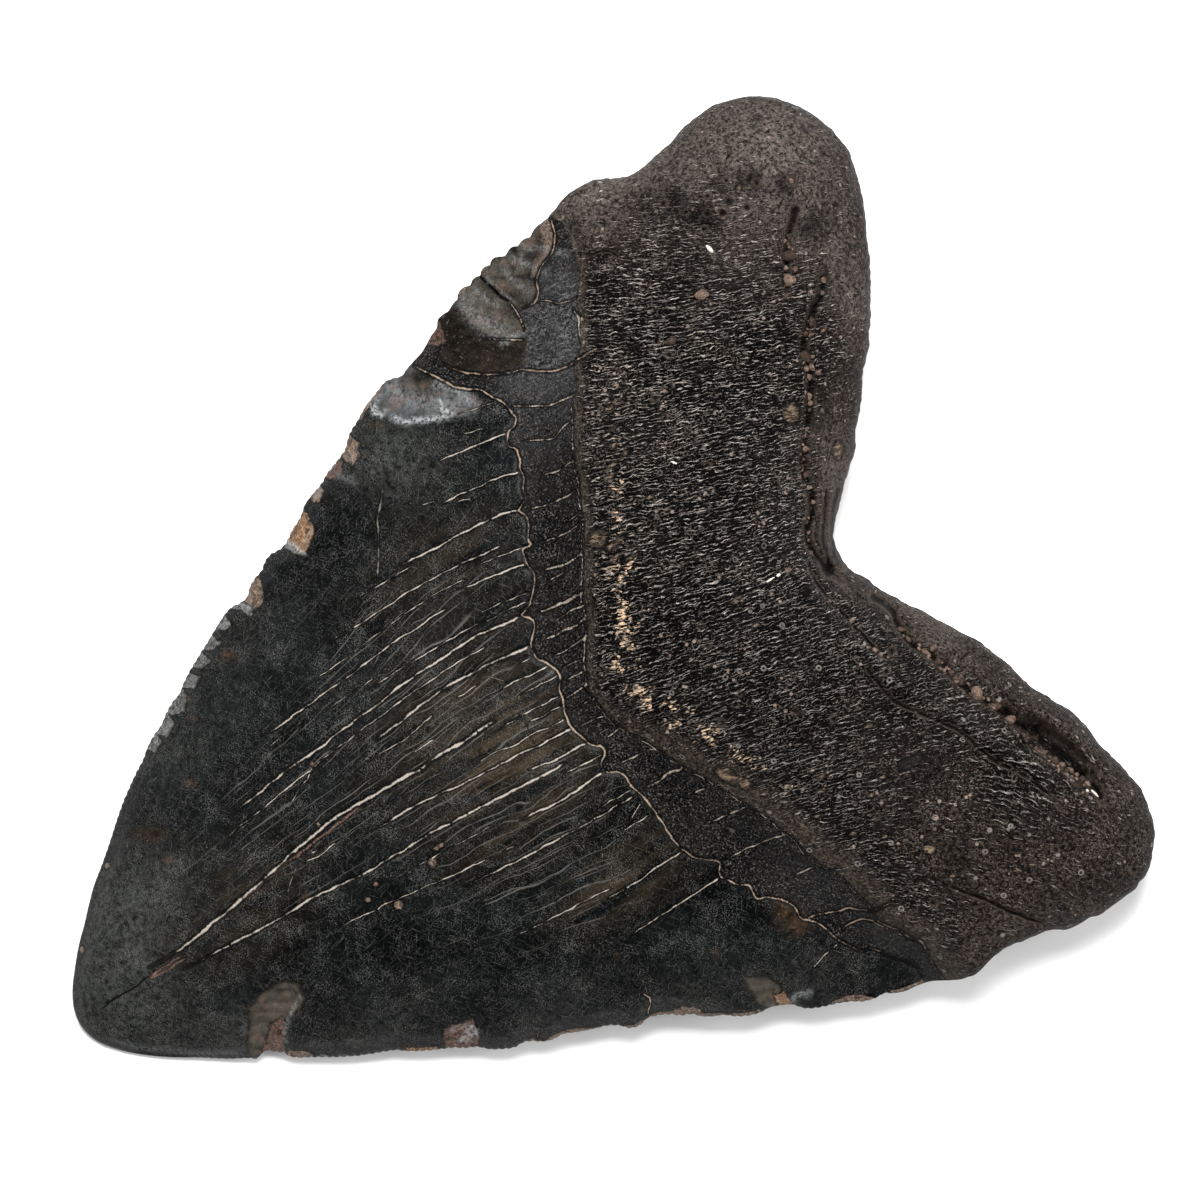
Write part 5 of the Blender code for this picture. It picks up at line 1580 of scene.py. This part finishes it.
def lay_marks(tree, colour, place, strength=1):
    """The stains and chips, each a ragged patch in its own colour with mottling, then painted shade
    and painted highlights.
    """
    coarse = cloudy(tree, place, 0.7, 3, 0.6, 0.3, 0.68)
    mottle = cloudy(tree, place, 3.6, 5, 0.75, 0.4, 0.64)
    cells = {"Vector": place, "Scale": 1.7}
    random_colour = add(tree, "TexVoronoi", cells).outputs["Color"]
    facet = add(tree, "SeparateColor", {0: random_colour}).outputs[0]
    to_edge = add(tree, "TexVoronoi", cells, feature="DISTANCE_TO_EDGE").outputs["Distance"]
    facet_edge_highlight = minus(tree, 1, between(tree, to_edge, 0, 0.09))
    ripple_light_bands = attribute(tree, "ripple_light_bands")
    for name, (finish, softness) in MARK_FINISHES.items():
        crumbly = name in CRUMBLY
        mask = ragged(tree, attribute(tree, name), place, 0.8, softness=softness)
        shade = scaled_colour(finish, 0.15 if crumbly or name == "umber" else 0.3)
        # smooth marks are mottled with painted light and shade bands along the ripple rings
        grain = plus(tree, mottle, facet) if crumbly else plus(tree, coarse, ripple_light_bands)
        patch = layer_colour(tree, shade, finish, grain, 0.6)
        # chips: painted highlights along the edges of their facets
        if crumbly:
            bright = scaled_colour(finish, 1.9, 0.5)
            patch = layer_colour(tree, patch, bright, facet_edge_highlight, mottle)
        if crumbly or name in ("silver", "olive"):
            lips = between(tree, attribute(tree, name), 0.02, 0.3)
            colour = layer_colour(tree, colour, (0.0015, 0.0014, 0.0012), lips, 0.7)
        if name == "rust":
            mask = times(tree, mask, mottle)
        colour = layer_colour(tree, colour, patch, mask, 0.9 * strength)
    flake = most(tree, attribute(tree, "olive"), attribute(tree, "silver"))
    blush = times(tree, flake, cloudy(tree, place, 0.55, 4, 0.7, 0.52, 0.66))
    colour = layer_colour(tree, colour, (0.135, 0.085, 0.068), blush, 0.55)
    # painted shade strokes
    colour = layer_colour(tree, colour, (0.004, 0.0036, 0.003), attribute(tree, "shade"))
    worn = most(tree, flake, attribute(tree, "umber"))
    long_specks = stretched(tree, place, (1, 0.45, 1), -0.5)
    fleck = times(tree, worn, cloudy(tree, long_specks, 4.2, 2, 0.6, 0.6, 0.7))
    colour = layer_colour(tree, colour, (0.15, 0.12, 0.095), fleck, 0.5)
    # painted shade inside the grooves and pits
    groove_shade = between(tree, attribute(tree, "groove"), 0.45, 0.65)
    colour = layer_colour(tree, colour, (0.001, 0.001, 0.001), groove_shade, strength)
    # painted highlights, broken up by noise
    sheen = cloudy(tree, place, 2.6, 4, 0.8, 0.38, 0.6)
    return layer_colour(tree, colour, PAINTED_HIGHLIGHT_COLOUR, attribute(tree, "painted_highlight"), sheen)

# %% Silt in the cracks
CREAM = (0.37, 0.33, 0.285)
TAN = (0.3, 0.225, 0.17)


def lay_line(tree, colour, place, name, silt, wander, level, gaps=0.42):
    """Silt in a crack between lips darkened as painted shade; gives back the colour and the line's
    mask.
    """
    soft = attribute(tree, name)
    # painted shade along both sides of the crack
    lips = between(tree, soft, 0.05, 0.35)
    colour = layer_colour(tree, colour, (0.0012, 0.0012, 0.0012), lips, 0.75)
    mask = ragged(tree, soft, place, wander, level)
    filled = cloudy(tree, place, 0.9, 5, 0.8, gaps, gaps + 0.16)
    silt = layer_colour(tree, scaled_colour(silt, 0.16), silt, filled)
    return layer_colour(tree, colour, silt, mask), mask

# %% [markdown]
# ## Enamel
# Fossil enamel is nearly black from manganese, faintly blue, and glossy under its scratches.
# The coloured layers go on one over another: brown glow, a grey-green film with painted sheen,
# dust, fine hairlines along the tooth, scratches, stains and chips with painted shade and
# painted highlights, and last the silt in the cracks.

# %% Enamel material
def make_enamel():
    paint, tree, place = start_material("black_enamel")
    colour = layer_colour(tree, (0.0006, 0.0008, 0.001), (0.0036, 0.0044, 0.0048),
                          cloudy(tree, place, 0.13, 4, 0.6, 0.36, 0.68))
    along = stretched(tree, place, (0.9, 0.07, 0.3))
    glow = cloudy(tree, along, 1, 4, 0.65, 0.36, 0.64)
    colour = layer_colour(tree, colour, (0.036, 0.0255, 0.0145), attribute(tree, "glow"), glow)
    # painted sheen where the crown slopes towards the light, partly a grey-green film
    smear = cloudy(tree, place, 1.5, 6, 0.85, 0.36, 0.66)
    colour = layer_colour(tree, colour, (0.05, 0.053, 0.048), attribute(tree, "sheen_and_film"), smear)
    dust = use_group(tree, fine_dust, {"Vector": place, "Grains": 9, "Cover": 0.46})
    colour = layer_colour(tree, colour, (0.2, 0.2, 0.19), dust, 0.4)
    fan = stretched(tree, attribute(tree, "fibre", "Vector"), (0.34, 0.12, 0.3))
    share = attribute(tree, "striae")
    striae = use_group(tree, fibre_ridges, {"Fibre": fan, "Thin": 14,
                                            "Cover": times(tree, share, 0.5)})
    striae = times(tree, striae, between(tree, share, 0.05, 0.6))
    colour = layer_colour(tree, colour, (0.17, 0.16, 0.145), striae, 0.45)
    scratches = use_group(tree, hair_scratches, {"Vector": place})
    colour = layer_colour(tree, colour, (0.17, 0.17, 0.16), scratches, 0.2)
    colour = lay_line(tree, colour, place, "scratch", (0.14, 0.13, 0.11), 0.7, 0.64)[0]
    colour = lay_marks(tree, colour, place)
    colour, crack = lay_line(tree, colour, place, "crack", CREAM, 0.9, 0.8, 0.32)
    colour, silt = lay_line(tree, colour, place, "tan_crack", TAN, 0.85, 0.85, 0.32)
    dull = most(tree, crack, most(tree, silt, dust))
    fine = noise_value(tree, place, 2.2, 4, 0.7)
    return finish_material(paint, colour, spread_over(tree, dull, 0.34, 0.8),
                           (0.35, 0.00006, fine), shine=0.04)

# %% [markdown]
# ## Neck band
# The band is thin dentine without enamel. It has dried into a leathery skin with fine
# wrinkles, so it is duller than the enamel and shows no glow. Pale silt marks its cracks.

# %% Neck band material
def make_neck():
    paint, tree, place = start_material("neck_band")
    cloud = noise_value(tree, place, 0.22, 4, 0.6)
    colour = layer_colour(tree, (0.0005, 0.0005, 0.0006), (0.0055, 0.0044, 0.004),
                          between(tree, cloud, 0.38, 0.7))
    leather = times(tree, attribute(tree, "leather"), between(tree, cloud, 0.2, 0.5))
    hide = layer_colour(tree, (0.012, 0.012, 0.0125), (0.092, 0.093, 0.096),
                        cloudy(tree, place, 1.3, 6, 0.85, 0.38, 0.64))
    colour = layer_colour(tree, colour, hide, leather)
    # painted shade in the creases of the wrinkles; the same folds also drive the bump
    folds = most(tree, *(use_group(tree, fibre_ridges, {
        "Fibre": stretched(tree, place, (0.6, 0.9, 1), turn), "Cover": 0.75, "Thin": 2.2})
        for turn in (-0.6, 0.8)))
    crease_shade = layer_colour(tree, (0.06, 0.058, 0.056), (0.003, 0.003, 0.003), leather)
    colour = layer_colour(tree, colour, crease_shade, folds, spread_over(tree, leather, 0.15, 0.9))
    # painted highlights on the crests of the wrinkles
    crest_highlights = use_group(tree, fibre_ridges, {
        "Fibre": stretched(tree, place, (0.75, 1.1, 1), 0.2), "Cover": 0.5, "Thin": 3.5})
    crest_highlights = times(tree, crest_highlights, leather)
    colour = layer_colour(tree, colour, (0.26, 0.26, 0.265), crest_highlights, 0.4)
    grains = cloudy(tree, place, 5, 3, 0.8, 0.52, 0.66)
    colour = layer_colour(tree, colour, (0.12, 0.116, 0.113), grains, 0.5)
    dashes = use_group(tree, fibre_dashes, {"Fibre": attribute(tree, "fibre", "Vector"),
                                            "Cover": 0.15})
    colour = layer_colour(tree, colour, (0.085, 0.075, 0.065), dashes, 0.6)
    dust = use_group(tree, fine_dust, {"Vector": place, "Grains": 5, "Cover": 0.48})
    colour = layer_colour(tree, colour, (0.12, 0.11, 0.1), dust, 0.5)
    colour = lay_marks(tree, colour, place)
    colour, crack = lay_line(tree, colour, place, "band_crack", (0.36, 0.31, 0.26), 0.8, 0.74)
    colour = lay_line(tree, colour, place, "tan_crack", TAN, 0.85, 0.85, 0.32)[0]
    height = minus(tree, times(tree, noise_value(tree, place, 1.6, 4, 0.7), 0.5), folds)
    return finish_material(paint, colour, spread_over(tree, most(tree, crack, dust), 0.46, 0.85),
                           (0.8, 0.0002, height), shine=0.035)

# %% [markdown]
# ## Root
# The root was bone-like and porous. Its raised fibres catch the light as thousands of short
# pale dashes on a nearly black ground, gold with silt next to the neck band. Over the lobes
# the surface is more worn, browner and smoother.

# %% Ground of the root: black bone, worn patches and the smooth shelf by the neck
def root_ground(tree, place):
    """Gives back the colour and how plain, without fibres, each place is."""
    shelf = times(tree, attribute(tree, "smooth_belt"),
                  cloudy(tree, place, 0.5, 3, 0.7, 0.28, 0.5))
    plain = most(tree, attribute(tree, "plain"), shelf)
    colour = layer_colour(tree, (0.0004, 0.0003, 0.0003), (0.0034, 0.0026, 0.0023),
                          cloudy(tree, place, 0.16, 4, 0.6, 0.34, 0.68))
    specks = noise_value(tree, place, 2.4, 5, 0.8)
    bone = layer_colour(tree, (0.0018, 0.0013, 0.001), (0.046, 0.035, 0.029),
                        between(tree, specks, 0.42, 0.66))
    colour = layer_colour(tree, colour, bone, plain)
    sandy = layer_colour(tree, (0.003, 0.0022, 0.0018), (0.12, 0.098, 0.074),
                         cloudy(tree, place, 3.2, 4, 0.8, 0.4, 0.66))
    colour = layer_colour(tree, colour, sandy, shelf, 0.65)
    grey = layer_colour(tree, (0.01, 0.008, 0.006), (0.14, 0.116, 0.102),
                        between(tree, specks, 0.39, 0.64))
    return layer_colour(tree, colour, grey, attribute(tree, "pale_root")), plain

# %% Fibres, pores and grains of the root
def root_fibres(tree, place, colour, plain, toward_right):
    """Gives back the colour, the ridges' height and the mask of the dashes."""
    fibre = attribute(tree, "fibre", "Vector")
    bare = minus(tree, 1, times(tree, plain, 0.95))
    ridges = add(tree, "Group", {"Fibre": fibre, "Thin": 2.1, "Cover": times(tree, bare, 0.47)},
                 node_tree=fibre_ridges).outputs
    vivid = layer_colour(tree, (0.47, 0.42, 0.38), (0.33, 0.3, 0.28), toward_right)
    ridge_colour = layer_colour(tree, (0.065, 0.058, 0.054), vivid,
                                cloudy(tree, place, 1.3, 4, 0.75, 0.4, 0.64))
    colour = layer_colour(tree, colour, ridge_colour, ridges["Mask"])
    patches = cloudy(tree, place, 0.55, 3, 0.6, 0.44, 0.57)
    gold = most(tree, times(tree, attribute(tree, "belt"), patches),
                times(tree, attribute(tree, "tan"), 1.2))
    dashes = use_group(tree, fibre_dashes, {"Fibre": fibre,
                                            "Cover": spread_over(tree, gold, -0.25, 0.95)})
    dash_colour = layer_colour(tree, (0.15, 0.13, 0.115), (0.66, 0.47, 0.31), gold)
    return layer_colour(tree, colour, dash_colour, dashes), ridges["Height"], dashes


def root_pores(tree, place, colour, toward_right):
    """Pale rings round the pores, and lone grains of tan silt."""
    cells = add(tree, "TexVoronoi", {"Vector": place, "Scale": 0.42}).outputs["Distance"]
    ring = minus(tree, between(tree, cells, 0.06, 0.09), between(tree, cells, 0.11, 0.15))
    colour = layer_colour(tree, colour, (0.19, 0.172, 0.155), ring,
                          spread_over(tree, toward_right, 0.35, 0.85))
    dots = add(tree, "TexVoronoi", {"Vector": place, "Scale": 0.95}).outputs
    lot = add(tree, "SeparateColor", {0: dots["Color"]}).outputs[0]
    picked = times(tree, cloudy(tree, place, 0.35, 2, 0.5, 0.45, 0.58),
                   between(tree, lot, 0.5, 0.55))
    dot = times(tree, minus(tree, 1, between(tree, dots["Distance"], 0.13, 0.21)), picked)
    return layer_colour(tree, colour, (0.26, 0.195, 0.16), dot, 0.9)

# %% Root material
def make_root():
    paint, tree, place = start_material("root_bone")
    # 0 at x = -6 mm, 1 at x = 8 mm: towards the right lobe the fibre ridges are dimmer and the pore
    # rings stronger
    toward_right = between(tree, add(tree, "SeparateXYZ", {0: place}).outputs[0], -6, 8)
    colour, plain = root_ground(tree, place)
    colour, relief, dashes = root_fibres(tree, place, colour, plain, toward_right)
    colour = root_pores(tree, place, colour, toward_right)
    # painted shade of the hollows
    hollow = ragged(tree, attribute(tree, "hollow"), place, 1.1, 0.42, 0.5)
    colour = layer_colour(tree, colour, (0.0015, 0.0012, 0.0012), hollow, 0.85)
    dust = use_group(tree, fine_dust, {"Vector": place, "Grains": 4.6, "Cover": 0.50})
    colour = layer_colour(tree, colour, (0.16, 0.13, 0.11), dust, 0.4)
    colour = lay_marks(tree, colour, place, 0.25)
    colour = lay_line(tree, colour, place, "tan_crack", TAN, 1.15, 0.86)[0]
    groove = attribute(tree, "groove")
    # painted highlight along the brinks of the grooves and pits
    brink = times(tree, times(tree, groove, minus(tree, 1, groove)), 3)
    lit_brink = ragged(tree, brink, place, 1.6, 0.62, 0.25)
    colour = layer_colour(tree, colour, (0.09, 0.068, 0.054), lit_brink, 0.5)
    # painted shade in the depths of the grooves and pits
    deep_groove_shade = ragged(tree, groove, place, 1.3, 0.66, 0.3)
    colour = layer_colour(tree, colour, (0.0012, 0.0009, 0.0008), deep_groove_shade, 0.9)
    height = plus(tree, relief, times(tree, noise_value(tree, place, 2, 4, 0.7), 0.5))
    return finish_material(paint, colour, spread_over(tree, dashes, 0.66, 0.8),
                           (0.8, 0.0003, height), shine=0.035)

# %% [markdown]
# ## The tooth as one piece
# A tooth grew as one body, so the mesh stays one object with three materials. It takes the
# place of the plain solid. Its flat map for baking is two islands: the face that shows, seen
# from above, and the hidden face, seen from below.

# %% Make the tooth and lay out its map
TOP_ISLAND = (0.80 / 112, 0.325, 0.598)        # scale per mm, then the middle of the island
UNDER_ISLAND = (0.60 / 112, 0.755, 0.3)


def lay_out_map():
    """Both faces laid flat; the wall goes with the face that shows."""
    corners = np.zeros(len(tooth_mesh.loops), np.int32)
    tooth_mesh.loops.foreach_get("vertex_index", corners)
    flat = tooth_places[corners, :2]
    below = np.zeros(len(corners), bool)
    below[3 * len(top_faces):3 * (len(top_faces) + len(under_faces))] = True
    scale, u, v = TOP_ISLAND
    spread = flat * scale + (u, v)
    scale, u, v = UNDER_ISLAND
    spread[below] = flat[below] * (-scale, -scale) + (u, v)
    layer = tooth_mesh.uv_layers.new(name="OFBake")
    layer.data.foreach_set("uv", spread.astype(np.float32).ravel())
    print("map:", spread.min(axis=0).round(3), "to", spread.max(axis=0).round(3))


lay_out_map()
for paint in (make_enamel(), make_neck(), make_root()):
    tooth_mesh.materials.append(paint)
tooth = bpy.data.objects.new("tooth_body", tooth_mesh)
bpy.context.scene.collection.objects.link(tooth)
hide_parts("tooth")
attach(tooth, "root")

# %% [markdown]
# ## Grit in the crevices
# Sand from the river bed is still jammed in the grooves of the root. The larger grains have a
# place of their own; small ones are scattered along the two deepest grooves. A grain is a ball
# of a few dozen triangles pushed out of shape, half sunk into the tooth.

# %% Grit
GRAINS = [  # x, y, length, width
    (-28.9, 46, 0.9, 0.4), (-27.4, 44.9, 1.3, 0.9), (-26.5, 44, 0.5, 0.5), (-25.9, 44.7, 0.5, 0.5),
    (-25.3, 43.7, 1.2, 1), (-24.2, 42.6, 0.4, 0.4), (-23.6, 46.7, 0.6, 0.5),
    (-22.6, 45.9, 0.5, 0.4), (-20.7, 43.4, 1, 0.4), (-20, 42.3, 0.5, 0.5), (-18, 41.2, 1.7, 0.9),
    (-16.8, 41.2, 0.9, 0.6), (-16.1, 41.3, 0.5, 0.5), (-17, 40.5, 0.6, 0.5),
    (-16.2, 40.3, 0.6, 0.5), (-14.6, 39.3, 0.7, 0.6), (-14, 39, 0.6, 0.5), (-13.5, 38.6, 0.4, 0.4),
    (-10.4, 36.2, 0.8, 0.5), (-8.2, 34.9, 0.7, 0.4), (-7, 34.5, 0.6, 0.4), (-5.6, 34.1, 0.6, 0.4),
    (-1.4, 31.1, 0.7, 0.5), (9.7, 34.8, 0.9, 0.4), (10.9, 34.9, 0.7, 0.4), (12.9, 36.5, 0.7, 0.5),
    (13, 35.7, 1.1, 0.5), (14.3, 36.3, 0.5, 0.5), (15.9, 36.8, 0.5, 0.5), (16.6, 36.8, 0.8, 0.5),
    (17.3, 37, 0.5, 0.4), (18.9, 37.9, 1.5, 0.9), (21, 38.5, 1.3, 0.7), (23, 39.1, 1.3, 0.8),
    (27.5, 40.4, 0.7, 0.5), (28.8, 40.9, 0.8, 0.5), (29.5, 41.3, 0.6, 0.5), (30.5, 41.8, 0.7, 0.5),
    (31.2, 42, 0.6, 0.4), (31.9, 42.3, 0.7, 0.5), (32.5, 42.5, 0.6, 0.4), (6.3, 31, 0.9, 0.4),
    (9.9, 31.4, 0.5, 0.4), (10.6, 31.6, 0.5, 0.4), (3.5, 30.2, 0.4, 0.3), (-39.2, 45.4, 0.7, 0.6),
    (-33.5, 49, 0.5, 0.4), (-28.6, 35.5, 1.2, 0.8), (-26.3, 30.6, 0.75, 0.75),
    (-1.25, 28.2, 0.8, 0.45),
]
SHELL_RODS = [  # x, y, length, width, turn in degrees
    (-32, 38.6, 1.1, 0.42, 10), (-1.35, 27.2, 0.45, 0.32, 90), (-1.4, 26.2, 1.2, 0.2, 90),
    (-16, 24.4, 0.8, 0.24, 35), (33.7, 42.5, 1.3, 0.32, 8), (32.9, 42, 0.35, 0.25, 0),
]
random.seed(11)
surface_tree = tree_of(top_place)


def level_at(x, y):
    """Height of the tooth's surface at a place, mm."""
    return float(top_height[nearest(surface_tree, np.array([(x, y)]))[0][0]])


def scattered_grains(route, count, reach, size):
    """Small seeded grains along a groove."""
    line = along_route(route, 0.2)
    picks = [line[random.randrange(len(line))] for grain in range(count)]
    return [(x + random.uniform(-reach, reach), y + random.uniform(-reach, reach),
             size * random.uniform(0.6, 1.4), size * random.uniform(0.5, 1.0)) for x, y in picks]


def join_grains(name, grains, flatness, sink, bumps):
    """One mesh of many little misshapen balls; each takes a random shade from 0 to 1."""
    ball = bmesh.new()
    shades = []
    for number, (x, y, length, width, turn) in enumerate(grains):
        made = bmesh.ops.create_icosphere(ball, subdivisions=2, radius=1.0)["verts"]
        cos, sin = math.cos(turn), math.sin(turn)
        level = level_at(x, y) + (0.5 - sink) * width * flatness
        shade = random.random()
        for vertex in made:
            swell = 1.0 + bumps * noise.noise(vertex.co * 1.6 + Vector((number * 7.3, 0.0, 0.0)))
            across, along, up = vertex.co * swell
            across, along = across * 0.5 * length, along * 0.5 * width
            up = up * 0.5 * width * flatness
            vertex.co = ((x + across * cos - along * sin) * MM,
                         (y + across * sin + along * cos) * MM, (level + up) * MM)
            shades.append(shade)
    mesh = bpy.data.meshes.new(name)
    ball.to_mesh(mesh)
    ball.free()
    layer = mesh.attributes.new("shade", "FLOAT", "POINT")
    layer.data.foreach_set("value", np.array(shades, np.float32))
    mesh.shade_smooth()
    made = bpy.data.objects.new(name, mesh)
    bpy.context.scene.collection.objects.link(made)
    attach(made, "root")
    print(name, "has", len(grains), "pieces and", len(mesh.polygons), "triangles")
    return made


loose = scattered_grains([(-21.3, 43.4), (-15.5, 39.8), (-8.5, 34.7), (-3.0, 31.8)], 46, 0.4, 0.42)
loose += scattered_grains([(9.0, 34.7), (14.7, 36.3), (22.0, 38.6), (27.0, 39.8), (30.0, 40.9),
                           (33.0, 42.0)], 90, 0.45, 0.42)
loose += scattered_grains([(-28.8, 45.7), (-25.0, 43.0)], 16, 0.35, 0.40)
larger = [(x, y, 1.2 * length, 1.25 * width) for x, y, length, width in GRAINS]
grit = join_grains("crevice_grit", [(x, y, length, width, random.uniform(0.0, 3.0))
                                    for x, y, length, width in larger + loose], 0.8, 0.10, 0.45)
shells = join_grains("shell_bits", [(x, y, length, width, math.radians(turn))
                                    for x, y, length, width, turn in SHELL_RODS], 0.8, 0.05, 0.15)

# %% [markdown]
# ## Finish of the grit and the shell
# Grit is mixed: brown, tan and a little grey, dull and dusty. Each grain read a shade when it
# was made, and the colour follows from it. The slivers of shell are chalk white.

# %% Grit and shell materials
def make_grit():
    paint, tree, place = start_material("river_grit")
    shade = attribute(tree, "shade")
    colour = layer_colour(tree, (0.045, 0.028, 0.020), (0.180, 0.120, 0.090),
                          between(tree, shade, 0.05, 0.7))
    colour = layer_colour(tree, colour, (0.20, 0.15, 0.12), between(tree, shade, 0.82, 0.98))
    speck = cloudy(tree, place, 4.0, 3.0, 0.7, 0.42, 0.66)
    colour = layer_colour(tree, colour, (0.018, 0.012, 0.009), speck, 0.6)
    return finish_material(paint, colour, spread_over(tree, speck, 0.7, 0.95),
                           (0.7, 0.0001, speck), shine=0.2)


def make_shell():
    paint, tree, place = start_material("chalky_shell")
    speck = cloudy(tree, place, 5.0, 3.0, 0.7, 0.40, 0.66)
    colour = layer_colour(tree, (0.62, 0.60, 0.52), (0.34, 0.31, 0.25), speck)
    return finish_material(paint, colour, spread_over(tree, speck, 0.5, 0.8),
                           (0.5, 0.00006, speck), soot=None)


grit.data.materials.append(make_grit())
shells.data.materials.append(make_shell())
